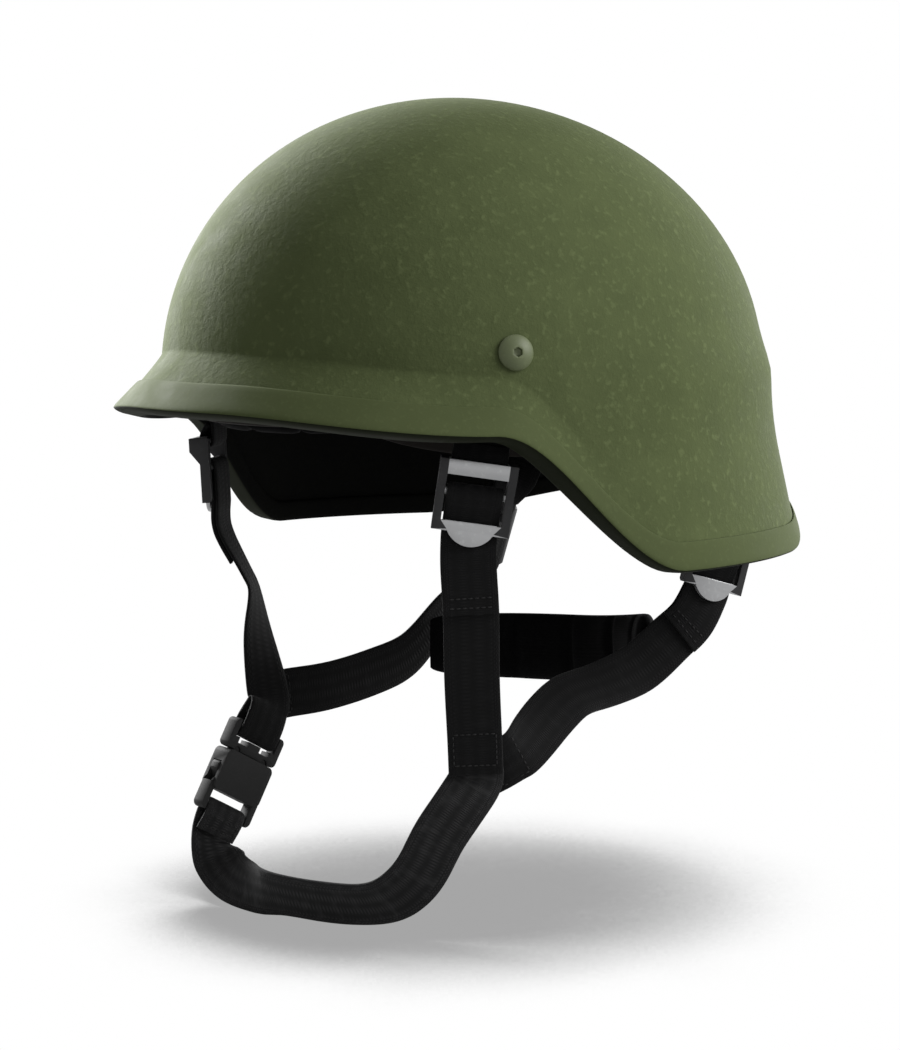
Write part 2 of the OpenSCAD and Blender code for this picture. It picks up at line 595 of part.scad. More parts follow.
// A harness strap: its tail, its turn through the lock and its route down, which the tail follows outside
module harness_strap(l, side, tail_steps, route, headings) {
    wrap = lock_wrap(l, side);
    m = len(wrap) - 1;
    lane = spline(concat([wrap[m]], route), 3);
    turns = spline(concat([lock_across(l, side)], headings), 3);
    tail = [for (i = [tail_steps:-1:1])
        lane[i] + side*(web_t + lay_gap)*unit(cross(along(lane, i), turns[i]))];
    path = concat(tail, wrap, [for (i = [1:len(lane) - 1]) lane[i]]);
    across = concat([for (i = [tail_steps:-1:1]) turns[i]], [for (p = wrap) lock_across(l, side)],
                    [for (i = [1:len(lane) - 1]) turns[i]]);
    color(black) ribbon(path, across, web_w, web_t);
}

function facing(a) = [cos(a), sin(a), 0];

module front_strap_left() harness_strap(front_lock_l, left, 6, front_route_left, front_turns_left);

module front_strap_right() {
    wrap = [for (p = [[-1.5, 12], [-bar_turn, 6], [-bar_turn, 0], [-bar_turn*0.71, -bar_turn*0.71],
                      [0, -bar_turn], [bar_turn*0.71, -bar_turn*0.71], [bar_turn, 0], [bar_turn, 5],
                      [0.8, 13]])
        buckle_point([0, p[0], p[1]])];
    harness_strap(front_lock_r, right, 5, concat(front_route_right, wrap),
        concat(front_turns_right, [for (p = wrap) buckle_vector([1, 0, 0])]));
}

module rear_strap_left() harness_strap(rear_lock_l, left, 5, rear_route_left, rear_turns_left);

module rear_strap_right() harness_strap(rear_lock_r, right, 5, rear_route_right, rear_turns_right);

module chin_strap() {
    b = -buckle_span;
    wrap = [for (p = [[0.6, -12], [bar_turn - 0.2, -5], [bar_turn, 0], [bar_turn*0.71, bar_turn*0.71],
                      [0, bar_turn], [-bar_turn*0.71, bar_turn*0.71], [-bar_turn, 0], [-bar_turn, -4],
                      [-1.5, -10]])
        buckle_point([0, p[0], b + p[1]])];
    lane = spline(chin_route, 3);
    turns = spline(chin_turns, 3);
    color(black) ribbon(concat(lane, wrap), concat(turns, [for (p = wrap) -buckle_vector([1, 0, 0])]),
        web_w, web_t);
}

// The nape pad: crowned between sewn channels and drawn in at its ends
module nape_pad() {
    spine = spline(nape_route, 5);
    m = len(spine) - 1;
    rings = [for (i = [0:m]) let(f = i/m, d = along(spine, i), out = unit(cross([0, 0, 1], d)),
            up = cross(d, out), e = pow(1 - pow(abs(2*f - 1)*0.985, 6), 0.5),
            sewn = 1 - 0.35*pow(abs(cos(180*f*(nape_channels + 1))), 10),
            h = nape_pad_h/2*mix(0.62, 1, e), t = nape_pad_t/2*e*sewn + 0.6)
        [for (k = [0:11]) let(a = -k*30, c = cos(a), s = sin(a))
            spine[i] + out*t*sign(c)*pow(abs(c), 0.7) + up*h*sign(s)*pow(abs(s), 0.8)]];
    tip = 1.2;
    color(black) pointed_solid(rings, spine[0] - along(spine, 0)*tip, spine[m] + along(spine, m)*tip);
}

// Frame of the buckle: x across, y inwards and z up, with the male half's bar at its origin
function buckle_vector(v) = about_z(about_x(about_y(v, buckle_roll), buckle_lean), buckle_turn);
function buckle_point(v) = buckle_at + buckle_vector(v);

module at_buckle() {
    translate(buckle_at) rotate([0, 0, buckle_turn]) rotate([buckle_lean, 0, 0]) rotate([0, buckle_roll, 0])
        children();
}

module buckle_bar(z) {
    translate([-buckle_w/2 + 1.5, 0, z]) rotate([0, 90, 0])
        cylinder(h = buckle_w - 3, d = buckle_bar_d, $fn = 24);
}

// Rounded plate in the buckle's plane, from one height down to another
module buckle_plate(w, t, high, low, r) {
    translate([0, t/2, 0]) rotate([90, 0, 0]) linear_extrude(t) {
        translate([-w/2 + r, low]) square([w - 2*r, high - low]);
        translate([-w/2, low + r]) square([w, high - low - 2*r]);
        for (x = [-w/2 + r, w/2 - r], z = [low + r, high - r]) translate([x, z]) circle(r = r, $fn = 20);
    }
}

module buckle_male() {
    color(black) at_buckle() {
        difference() {
            buckle_plate(buckle_w, 5.5, 3, male_root, 2);
            translate([-web_slot_w/2, -5, male_slot_low]) cube([web_slot_w, 10, 10]);
            // two windows below the webbing, either side of a middle lug
            for (s = [-1, 1]) translate([s*male_window_x - male_window_w/2, -5, male_window_low])
                cube([male_window_w, 10, 5]);
            for (s = [-1, 1]) translate([s*arm_pivot_x, 5, male_root]) rotate([90, 0, 0])
                cylinder(h = 10, r = arm_knuckle_r + 0.15, $fn = 32);
        }
        buckle_bar(0);
        // the tongue between the arms guides the halves together
        translate([0, 1.6, 0]) rotate([90, 0, 0]) linear_extrude(3.2) polygon(
            [[-2.6, male_root + 0.1], [-2.6, arm_tip + 2], [-1.6, arm_tip],
             [1.6, arm_tip], [2.6, arm_tip + 2], [2.6, male_root + 0.1]]);
    }
}

// One sprung arm: a knuckle at its root, a slim shank and a barbed head
module buckle_arm() {
    color(black) at_buckle() children();
}

module arm_shape() {
    translate([0, arm_t/2, 0]) rotate([90, 0, 0]) linear_extrude(arm_t) {
        translate([arm_pivot_x, male_root]) circle(r = arm_knuckle_r, $fn = 32);
        polygon([[arm_pivot_x - 1, male_root], [arm_pivot_x - 1.4, arm_tip + 2.5],
                 [arm_pivot_x - 0.4, arm_tip], [arm_pivot_x + 1.4, arm_tip + 1.2],
                 [barb_x, barb_z - 3], [barb_x, barb_z - 0.8],
                 [barb_x - 0.6, barb_z], [mouth_x - 0.5, barb_z], [arm_pivot_x + 1, male_root]]);
    }
}

module buckle_arm_left() buckle_arm() arm_shape();
module buckle_arm_right() buckle_arm() mirror([1, 0, 0]) arm_shape();

module buckle_female() {
    low = -buckle_span - buckle_bar_d/2 - 0.6;
    body_w = buckle_w - 2;
    color(black) at_buckle() {
        difference() {
            union() {
                buckle_plate(body_w, buckle_t, mouth_z, pocket_low - 1.6, 2.5);
                buckle_plate(buckle_w, 5.5, pocket_low + 3, low, 2.5);
            }
            // pocket for the tongue and the arms
            translate([-mouth_x, -pocket_t/2, pocket_low])
                cube([2*mouth_x, pocket_t, mouth_z - pocket_low + 1]);
            // side windows for the arm heads
            translate([-buckle_w, -pocket_t/2, pocket_low + 0.6])
                cube([2*buckle_w, pocket_t, barb_z + 0.35 - pocket_low - 0.6]);
            // slot for the webbing
            translate([-web_slot_w/2, -buckle_t, low - 1])
                cube([web_slot_w, 2*buckle_t, pocket_low - 1.6 - low + 1]);
        }
        buckle_bar(-buckle_span);
    }
}

shell();
edge_trim();
strap_bolts();
bolt_washers();
bolt_nuts();
suspension_band();
crown_straps();
crown_ring();
crown_pad();
headband();
headband_clips();
brow_pad();
hanger(bolt_front_a, bolt_front_z, front_lock_l, left);  // front_hanger_left
hanger(bolt_front_a, bolt_front_z, front_lock_r, right);  // front_hanger_right
hanger(bolt_rear_a, bolt_rear_z, rear_lock_l, left);  // rear_hanger_left
hanger(bolt_rear_a, bolt_rear_z, rear_lock_r, right);  // rear_hanger_right
at_lock(front_lock_l, left) ladder_lock();  // front_lock_left
at_lock(front_lock_r, right) ladder_lock();  // front_lock_right
at_lock(rear_lock_l, left) ladder_lock();  // rear_lock_left
at_lock(rear_lock_r, right) ladder_lock();  // rear_lock_right
front_strap_left();
front_strap_right();
rear_strap_left();
rear_strap_right();
nape_pad();
chin_strap();
buckle_male();
buckle_arm_left();
buckle_arm_right();
buckle_female();
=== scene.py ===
# Combat helmet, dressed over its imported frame. The wearer faces -Y and the wearer's left is +X.
# Sizes are in millimetres until the moment they go into a mesh.
import bpy
import bmesh
import math
from mathutils import Matrix, Vector


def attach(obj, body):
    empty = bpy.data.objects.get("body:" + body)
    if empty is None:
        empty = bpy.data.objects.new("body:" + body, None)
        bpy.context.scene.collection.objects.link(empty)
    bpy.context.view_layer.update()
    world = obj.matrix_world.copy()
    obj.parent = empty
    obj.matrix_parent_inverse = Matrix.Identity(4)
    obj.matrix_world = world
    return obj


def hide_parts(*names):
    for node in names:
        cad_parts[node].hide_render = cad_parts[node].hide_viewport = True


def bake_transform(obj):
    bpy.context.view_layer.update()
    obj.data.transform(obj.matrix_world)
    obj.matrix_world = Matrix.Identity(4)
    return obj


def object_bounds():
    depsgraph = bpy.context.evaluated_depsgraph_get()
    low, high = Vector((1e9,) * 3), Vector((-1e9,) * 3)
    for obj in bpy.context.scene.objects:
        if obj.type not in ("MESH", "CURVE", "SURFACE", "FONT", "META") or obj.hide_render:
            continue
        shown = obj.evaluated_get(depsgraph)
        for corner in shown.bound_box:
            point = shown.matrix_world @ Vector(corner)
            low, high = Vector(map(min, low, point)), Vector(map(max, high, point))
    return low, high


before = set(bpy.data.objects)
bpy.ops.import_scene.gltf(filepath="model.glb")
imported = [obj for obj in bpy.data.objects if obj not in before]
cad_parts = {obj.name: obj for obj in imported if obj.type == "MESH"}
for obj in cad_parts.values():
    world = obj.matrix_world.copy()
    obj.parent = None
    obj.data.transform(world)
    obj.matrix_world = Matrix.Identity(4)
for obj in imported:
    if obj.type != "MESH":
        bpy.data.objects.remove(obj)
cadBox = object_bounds()
mm = 0.001
merged = 2e-6
left = 1
right = -1
print("frame loaded:", len(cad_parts), "nodes")


# Small helpers for points and paths
def ease(a, b, x):
    t = max(0.0, min(1.0, (x - a)/(b - a)))
    return t*t*(3 - 2*t)


def mix(a, b, t):
    return a + (b - a)*t


def mirrored(v, side):
    return Vector((side*v[0], v[1], v[2]))


def facing(degrees):
    a = math.radians(degrees)
    return Vector((math.cos(a), math.sin(a), 0))


def nearest(points, i):
    return points[max(0, min(len(points) - 1, i))]


def smoothPath(points, steps):
    # a curve through every point, with even steps between them
    found = []
    for i in range(len(points) - 1):
        a, b, c, d = (Vector(nearest(points, i + k)) for k in (-1, 0, 1, 2))
        for k in range(steps):
            t = k/steps
            found.append(0.5*(2*b + (c - a)*t + (2*a - 5*b + 4*c - d)*t*t + (3*b - a - 3*c + d)*t**3))
    return found + [Vector(points[-1])]


def cutCorners(points, rounds=2):
    # each round takes the corners off, and the two ends stay
    for _ in range(rounds):
        cut = [points[0]]
        for a, b in zip(points, points[1:]):
            cut += [a.lerp(b, 0.25), a.lerp(b, 0.75)]
        points = cut + [points[-1]]
    return points


def along(points, i):
    return (nearest(points, i + 1) - nearest(points, i - 1)).normalized()


# Meshes
def wrappedGrid(across, lengthwise, place, size=(1, 1), closed=False, capped=False):
    # a grid of faces whose points place() puts on the piece, with a UV map of the given size
    bm = bmesh.new()
    bmesh.ops.create_grid(bm, x_segments=across, y_segments=lengthwise, size=0.5)
    uv = bm.loops.layers.uv.new("UVMap")
    far = bm.verts.layers.float.new("lengthwise")
    for face in bm.faces:
        for corner in face.loops:
            p = corner.vert.co
            corner[uv].uv = ((p.x + 0.5)*size[0], (p.y + 0.5)*size[1])
    for v in bm.verts:
        v[far] = v.co.y + 0.5
        v.co = place(v.co.x + 0.5, v.co.y + 0.5)*mm
    if closed:
        bmesh.ops.remove_doubles(bm, verts=bm.verts, dist=merged)
    if capped:
        bmesh.ops.holes_fill(bm, edges=[e for e in bm.edges if e.is_boundary], sides=0)
    bmesh.ops.recalc_face_normals(bm, faces=bm.faces)
    return bm


def gridFromRows(rows, size=(1, 1), ring=False):
    # each row is a closed loop of points; a ring's last row meets its first, and other grids get end caps
    count = len(rows[0])
    steps = len(rows) if ring else len(rows) - 1

    def place(u, v):
        return rows[round(v*steps) % len(rows)][round(u*count) % count]

    return wrappedGrid(count, steps, place, size, closed=True, capped=not ring)


def addPiece(name, bm, material, body, replaced=()):
    mesh = bpy.data.meshes.new(name)
    bm.to_mesh(mesh)
    bm.free()
    for m in material if isinstance(material, list) else [material]:
        mesh.materials.append(m)
    for face in mesh.polygons:
        face.use_smooth = True
    piece = bpy.data.objects.new(name, mesh)
    bpy.context.scene.collection.objects.link(piece)
    if body:
        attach(piece, body)
    if replaced:
        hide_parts(*replaced)
    return piece


rounding = {"flat": 2, "sharp": 28, "segments": 2}


def dressedNode(node, name, material, body, edge, shaded=None):
    # a merged copy of a frame node with its sharp edges rounded; shaded() picks faces for the second material
    bm = bmesh.new()
    bm.from_mesh(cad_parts[node].data)
    bmesh.ops.remove_doubles(bm, verts=bm.verts, dist=merged)
    bmesh.ops.dissolve_limit(bm, angle_limit=math.radians(rounding["flat"]), verts=bm.verts, edges=bm.edges)
    sharp = math.radians(rounding["sharp"])
    edges = [e for e in bm.edges if len(e.link_faces) == 2 and e.calc_face_angle(0) > sharp]
    bmesh.ops.bevel(bm, geom=edges, offset=edge*mm, offset_type="OFFSET", segments=rounding["segments"],
                    profile=0.5, affect="EDGES", clamp_overlap=True, material=-1)
    bmesh.ops.triangulate(bm, faces=[f for f in bm.faces if len(f.verts) > 4])
    if shaded:
        bm.normal_update()
        for face in bm.faces:
            face.material_index = 1 if shaded(face) else 0
    return addPiece(name, bm, material, body, (node,))


# Shader nodes
def addNode(tree, kind, values=None, **settings):
    node = tree.nodes.new("ShaderNode" + kind)
    for key, value in settings.items():
        setattr(node, key, value)
    for key, value in (values or {}).items():
        node.inputs[key].default_value = value
    return node


def newGroup(name, inputs, outputs):
    group = bpy.data.node_groups.new(name, "ShaderNodeTree")
    for label, kind, value in inputs:
        socket = group.interface.new_socket(label, in_out="INPUT", socket_type="NodeSocket" + kind)
        if value is not None:
            socket.default_value = value
    for label, kind in outputs:
        group.interface.new_socket(label, in_out="OUTPUT", socket_type="NodeSocket" + kind)
    return group, group.nodes.new("NodeGroupInput"), group.nodes.new("NodeGroupOutput")


def grainGroup():
    # fine grain over broad cloudy patches: Height for the bump, Patches for colour and gloss
    group, given, result = newGroup(
        "surfaceGrain",
        [("Vector", "Vector", None), ("Grain", "Float", 1500.0), ("Patch", "Float", 30.0)],
        [("Height", "Float"), ("Patches", "Float"), ("Speckle", "Float")])
    link = group.links.new
    fine = addNode(group, "TexNoise", {"Detail": 3.0, "Roughness": 0.65})
    coarse = addNode(group, "TexNoise", {"Detail": 2.0})
    broad = addNode(group, "TexNoise", {"Detail": 4.0, "Roughness": 0.6})
    third = addNode(group, "Math", {1: 0.36}, operation="MULTIPLY")
    both = addNode(group, "Math", {1: 0.6}, operation="MULTIPLY_ADD")
    speckle = addNode(group, "MapRange", {"From Min": 0.56, "From Max": 0.74})
    scales = (given.outputs["Grain"], third.outputs[0], given.outputs["Patch"])
    for n, scale in zip((fine, coarse, broad), scales):
        link(given.outputs["Vector"], n.inputs["Vector"])
        link(scale, n.inputs["Scale"])
    link(given.outputs["Grain"], third.inputs[0])
    link(fine.outputs["Fac"], both.inputs[0])
    link(coarse.outputs["Fac"], both.inputs[2])
    link(both.outputs[0], result.inputs["Height"])
    link(broad.outputs["Fac"], result.inputs["Patches"])
    link(coarse.outputs["Fac"], speckle.inputs["Value"])
    link(speckle.outputs[0], result.inputs["Speckle"])
    return group


def weaveGroup():
    # warp cords run along V and weft picks across U; both maps are in millimetres
    group, given, result = newGroup(
        "wovenRibs",
        [("Vector", "Vector", None), ("Cord Pitch", "Float", 1.25), ("Pick Pitch", "Float", 0.9)],
        [("Height", "Float"), ("Shade", "Float")])
    link = group.links.new
    split = addNode(group, "SeparateXYZ")
    link(given.outputs["Vector"], split.inputs[0])
    cords = addNode(group, "Math", operation="DIVIDE")
    picks = addNode(group, "Math", operation="DIVIDE")
    link(split.outputs["X"], cords.inputs[0])
    link(given.outputs["Cord Pitch"], cords.inputs[1])
    link(split.outputs["Y"], picks.inputs[0])
    link(given.outputs["Pick Pitch"], picks.inputs[1])
    whole = addNode(group, "Math", operation="FLOOR")
    half = addNode(group, "Math", {1: 0.5}, operation="MULTIPLY")
    shifted = addNode(group, "Math", operation="ADD")
    link(cords.outputs[0], whole.inputs[0])
    link(whole.outputs[0], half.inputs[0])
    link(half.outputs[0], shifted.inputs[0])
    link(picks.outputs[0], shifted.inputs[1])
    waves = []
    for source in (cords, shifted):
        turn = addNode(group, "Math", {1: math.tau}, operation="MULTIPLY")
        wave = addNode(group, "Math", operation="COSINE")
        lifted = addNode(group, "Math", {1: -0.5, 2: 0.5}, operation="MULTIPLY_ADD")
        link(source.outputs[0], turn.inputs[0])
        link(turn.outputs[0], wave.inputs[0])
        link(wave.outputs[0], lifted.inputs[0])
        waves.append(lifted)
    product = addNode(group, "Math", operation="MULTIPLY")
    link(waves[0].outputs[0], product.inputs[0])
    link(waves[1].outputs[0], product.inputs[1])
    lint = addNode(group, "TexNoise", {"Scale": 0.35, "Detail": 4.0})
    link(given.outputs["Vector"], lint.inputs["Vector"])
    link(product.outputs[0], result.inputs["Height"])
    link(lint.outputs["Fac"], result.inputs["Shade"])
    return group


grain = grainGroup()
weave = weaveGroup()


def startMaterial(name, look):
    material = bpy.data.materials.new(name)
    material.use_nodes = True
    tree = material.node_tree
    shader = tree.nodes["Principled BSDF"]
    shader.inputs["Roughness"].default_value = look["roughness"]
    shader.inputs["Specular IOR Level"].default_value = look.get("specular", 0.5)
    shader.inputs["Metallic"].default_value = look.get("metallic", 0)
    shader.inputs["Sheen Weight"].default_value = look.get("sheen", 0)
    return material, tree, shader


def tones(tree, dark, light, amount):
    # a colour between two, by the amount that a socket gives
    tone = addNode(tree, "MixRGB", {"Color1": (*dark, 1), "Color2": (*light, 1)})
    tree.links.new(amount, tone.inputs["Fac"])
    return tone.outputs["Color"]


def overlay(tree, under, over, amount):
    # the colour over, laid on a colour socket by the amount that another socket gives
    laid = addNode(tree, "MixRGB", {"Color2": (*over, 1)})
    tree.links.new(amount, laid.inputs["Fac"])
    tree.links.new(under, laid.inputs["Color1"])
    return laid.outputs["Color"]


def raised(tree, height, shader, look):
    bump = addNode(tree, "Bump", {"Strength": look["bump"], "Distance": look["depth"]*mm})
    tree.links.new(height, bump.inputs["Height"])
    tree.links.new(bump.outputs["Normal"], shader.inputs["Normal"])


def grainMaterial(name, dark, light, look):
    # a coat, casting or hide: grain, patches of colour and a roughness that follows them
    material, tree, shader = startMaterial(name, look)
    link = tree.links.new
    place = addNode(tree, "TexCoord")
    group = addNode(tree, "Group", node_tree=grain)
    group.inputs["Grain"].default_value = look["grain"]
    group.inputs["Patch"].default_value = look.get("patch", 30)
    link(place.outputs["Object"], group.inputs["Vector"])
    strength = addNode(tree, "Math", {1: look.get("fleckShare", 0.35)}, operation="MULTIPLY")
    link(group.outputs["Speckle"], strength.inputs[0])
    base = tones(tree, dark, light, group.outputs["Patches"])
    flecked = overlay(tree, base, [c*look.get("fleck", 1.25) for c in light], strength.outputs[0])
    link(flecked, shader.inputs["Base Color"])
    rough = addNode(tree, "MapRange", {"From Min": 0.3, "From Max": 0.7, "To Min": look["roughness"] - 0.06,
                                       "To Max": look["roughness"] + 0.06})
    link(group.outputs["Patches"], rough.inputs["Value"])
    link(rough.outputs[0], shader.inputs["Roughness"])
    raised(tree, group.outputs["Height"], shader, look)
    return material


def wovenMaterial(name, dark, light, look):
    # painted shade: dark in the hollows between the cords and light on their tops; paler still where lint
    # gathers
    material, tree, shader = startMaterial(name, look)
    link = tree.links.new
    place = addNode(tree, "TexCoord")
    group = addNode(tree, "Group", node_tree=weave)
    group.inputs["Cord Pitch"].default_value = look["cord"]
    group.inputs["Pick Pitch"].default_value = look["pick"]
    link(place.outputs["UV"], group.inputs["Vector"])
    amount = addNode(tree, "MapRange", {"From Min": 0.5, "From Max": 0.75, "To Max": 0.5})
    link(group.outputs["Shade"], amount.inputs["Value"])
    # painted shade in the weave's hollows, by the weave's height
    base = tones(tree, dark, light, group.outputs["Height"])
    link(overlay(tree, base, [c*1.5 for c in light], amount.outputs[0]), shader.inputs["Base Color"])
    raised(tree, group.outputs["Height"], shader, look)
    return material


shellPaint = grainMaterial("shellPaint", (0.052, 0.067, 0.024), (0.096, 0.118, 0.050),
                           dict(roughness=0.88, specular=0.12, grain=1100, patch=70, bump=0.7, depth=0.3,
                                fleck=1.25, fleckShare=0.6))
# the inside's black coat, made darker still as painted shade for the hollow of the shell
shellInsideBlackAndShade = grainMaterial("shellInsideBlackAndShade", (0.0022, 0.0024, 0.0020), (0.005, 0.0052, 0.0045),
                            dict(roughness=0.95, specular=0.06, grain=900, patch=22, bump=0.5, depth=0.25))
trimRubber = grainMaterial("trimRubber", (0.056, 0.071, 0.026), (0.078, 0.096, 0.040),
                           dict(roughness=0.85, specular=0.12, grain=1600, patch=70, bump=0.3, depth=0.1))
# painted shade: the trim's underside is a darker olive, standing in for the shade under the rim
trimUnderPaintedShade = grainMaterial("trimUnderPaintedShade", (0.005, 0.0065, 0.0025), (0.009, 0.011, 0.005),
                          dict(roughness=0.85, specular=0.08, grain=1600, bump=0.25, depth=0.1))
boltCoat = grainMaterial("boltCoat", (0.070, 0.087, 0.036), (0.095, 0.115, 0.050),
                         dict(roughness=0.5, specular=0.45, grain=1800, bump=0.2, depth=0.08))
platedSteel = grainMaterial("platedSteel", (0.22, 0.22, 0.225), (0.32, 0.32, 0.33),
                            dict(roughness=0.38, metallic=1, grain=1400, bump=0.15, depth=0.05))
lockCoat = grainMaterial("lockCoat", (0.25, 0.252, 0.256), (0.35, 0.353, 0.358),
                         dict(roughness=0.36, metallic=0.6, specular=0.5, grain=1700, bump=0.2, depth=0.06))
# painted reflection: the side plates' flat faces are dark, standing in for the dark surroundings that the
# metal mirrors
lockPaintedShade = grainMaterial("lockPaintedShade", (0.012, 0.012, 0.0125), (0.022, 0.022, 0.023),
                          dict(roughness=0.5, metallic=0.2, specular=0.25, grain=1700, bump=0.2, depth=0.06))
bandNylon = grainMaterial("bandNylon", (0.006, 0.006, 0.006), (0.012, 0.012, 0.012),
                          dict(roughness=0.6, specular=0.3, grain=1200, bump=0.3, depth=0.1))
bandLeather = grainMaterial("bandLeather", (0.006, 0.005, 0.0045), (0.012, 0.010, 0.008),
                            dict(roughness=0.75, specular=0.12, grain=700, patch=60, bump=0.6, depth=0.25))
buckleAcetal = grainMaterial("buckleAcetal", (0.021, 0.021, 0.021), (0.032, 0.032, 0.032),
                             dict(roughness=0.7, specular=0.1, grain=2000, bump=0.2, depth=0.05))
webbingLook = dict(roughness=0.85, specular=0.12, sheen=0.03, cord=1.25, pick=0.9, bump=0.6, depth=0.22)
blackWebbing = wovenMaterial("blackWebbing", (0.0018, 0.0018, 0.0019), (0.0058, 0.0058, 0.0060), webbingLook)
chinWebbing = wovenMaterial("chinWebbing", (0.011, 0.011, 0.0113), (0.032, 0.032, 0.0325), webbingLook)
padKnit = wovenMaterial("padKnit", (0.0012, 0.0012, 0.0013), (0.0032, 0.0032, 0.0034),
                        dict(roughness=0.92, specular=0.05, sheen=0.01, cord=0.8, pick=0.8, bump=0.5,
                             depth=0.15))
thread = wovenMaterial("thread", (0.010, 0.010, 0.010), (0.022, 0.022, 0.022),
                       dict(roughness=0.7, specular=0.2, sheen=0.03, cord=0.4, pick=0.4, bump=0.3,
                            depth=0.05))
print("materials made:", len(bpy.data.materials))

# The shell: an ellipse in plan, drawn in over the crown and flared at the rim. A pair such as visorFade gives
# two turns in degrees from the brow, between which a form comes or goes.
shellSizes = {
    "halfLength": 123.5, "halfWidth": 107.5, "crownHeight": 105.5, "crownLean": 6, "widestDrop": 6.5,
    "wallSlope": 0.22, "wallSoft": 30, "thickness": 8.5,
    "browDrop": 15.2, "templeDrop": 22, "earDrop": 71.5, "napeDrop": 57, "templeStart": 8, "earStart": 53.5,
    "earEnd": 88, "napeRise": (122, 165), "cutLevel": 0.6, "visorReach": 16.6, "visorHeight": 19.5,
    "visorCrease": 1.15, "visorFade": (28, 82), "visorMost": 1.3, "skirtShare": 1.25,
    "earBulge": 5.5, "earTop": 14, "earTopFade": (64, 94), "earShoulder": 22, "earCome": (60, 95),
    "earGo": (125, 150), "napeLip": 2.5, "napeLipHeight": 14, "crownFlat": 0.6,
    "around": 288, "domeRows": 44, "skirtRows": 36, "edgeRows": 4,
}
s = shellSizes
crownTop = s["crownHeight"] - s["widestDrop"]


def rise(z):
    return max(0.0, min(1.0, (z + s["widestDrop"])/s["crownHeight"]))


def rimHeight(a):
    return (-s["browDrop"]
            - (s["templeDrop"] - s["browDrop"])*ease(s["templeStart"], s["earStart"], a)
            - (s["earDrop"] - s["templeDrop"])*ease(s["earStart"], s["earEnd"], a)
            + (s["earDrop"] - s["napeDrop"])*ease(*s["napeRise"], a))


def aside(turn):
    # degrees from the brow, the same on both sides
    return abs(((turn + 540) % 360) - 180)


def onShell(turn, z):
    a = aside(turn)
    rim = rimHeight(a)
    t = math.radians(turn)
    up = rise(z)
    plan = 1/math.sqrt((math.sin(t)/s["halfWidth"])**2 + (math.cos(t)/s["halfLength"])**2)
    drop = max(0.0, -s["widestDrop"] - z)
    soft = s["wallSoft"]
    wall = s["wallSlope"]*(drop*drop/(2*soft) if drop < soft else drop - soft/2)
    flare = max(0.0, min(s["visorMost"], (rim + s["visorHeight"] - z)/s["visorHeight"]))
    visor = s["visorReach"]*(1 - ease(*s["visorFade"], a))*flare**s["visorCrease"]
    earTop = s["earTop"]*ease(*s["earTopFade"], a)
    behind = ease(*s["earGo"], a)
    ear = s["earBulge"]*ease(*s["earCome"], a)*(1 - behind)*ease(0, s["earShoulder"], earTop - z)
    nape = s["napeLip"]*behind*ease(0, s["napeLipHeight"], rim + s["napeLipHeight"] - z)
    r = plan*math.sqrt(max(0.0, 1 - up*up)) + wall + visor + ear + nape
    return Vector((r*math.sin(t), -r*math.cos(t) - s["crownLean"]*up*up, z))


def shellNormal(turn, z):
    if z > crownTop - s["crownFlat"]:
        return Vector((0, 0, 1))
    sideways = onShell(turn + 1, z) - onShell(turn - 1, z)
    upwards = onShell(turn, z + 0.5) - onShell(turn, z - 0.5)
    return sideways.cross(upwards).normalized()


def skin(turn, z, out):
    return onShell(turn, z) + out*shellNormal(turn, z)


def shellSide(turn, z):
    n = shellNormal(turn, z)
    return Vector((-n.y, n.x, 0)).normalized()


def rimDown(turn):
    z = rimHeight(aside(turn))
    return (onShell(turn, z) - onShell(turn, z + 1)).normalized()


def innerFace(turn, h, out):
    # the inner face starts higher than a square cut would leave it
    rim = rimHeight(aside(turn))
    slope = shellNormal(turn, rim).z
    lift = s["cutLevel"]*s["thickness"]*slope*max(0.0, 1 - h/(s["skirtShare"]*s["visorHeight"]))
    return skin(turn, rim + h + lift, -s["thickness"] - out)


def cutEdge(turn, share, drop):
    # across the cut from the outer face to the inner one, and lower by the drop
    return mix(skin(turn, rimHeight(aside(turn)), 0), innerFace(turn, 0, 0), share) - Vector((0, 0, drop))


def shellHeight(turn, row):
    # row 0 is the crown, then the dome, then the skirt down to the rim
    rim = rimHeight(aside(turn))
    base = rim + s["visorHeight"]*s["skirtShare"]
    if row <= s["domeRows"]:
        return base + (crownTop - base)*math.cos(math.pi/2*row/s["domeRows"])
    return mix(base, rim, (row - s["domeRows"])/s["skirtRows"])


def buildShell():
    wallRows = s["domeRows"] + s["skirtRows"]
    total = 2*wallRows + s["edgeRows"]

    def place(u, v):
        turn = 360*u
        row = round(v*total)
        if row <= wallRows:
            return skin(turn, shellHeight(turn, row), 0)
        if row < wallRows + s["edgeRows"]:
            return cutEdge(turn, (row - wallRows)/s["edgeRows"], 0)
        back = total - row
        if back > s["domeRows"]:
            return innerFace(turn, shellHeight(turn, back) - rimHeight(aside(turn)), 0)
        return skin(turn, shellHeight(turn, back), -s["thickness"])

    bm = wrappedGrid(s["around"], total, place, closed=True)
    uv = bm.loops.layers.uv.active
    # the inner faces take the dark inside material: black coat with painted shade
    for face in bm.faces:
        rows = [corner[uv].uv.y*total for corner in face.loops]
        face.material_index = 1 if min(rows) >= wallRows - 0.5 else 0
    return addPiece("shellBody", bm, [shellPaint, shellInsideBlackAndShade], "helmet", ("shell",))


buildShell()
print("shell built")

# The trim: a channel whose web covers the cut edge between two lips
trimSizes = {"lip": 1.1, "outer": 9, "inner": 7, "web": 2, "gap": 0.25, "room": 0.75, "around": 288,
             "underFrom": 11, "insideFrom": 20}


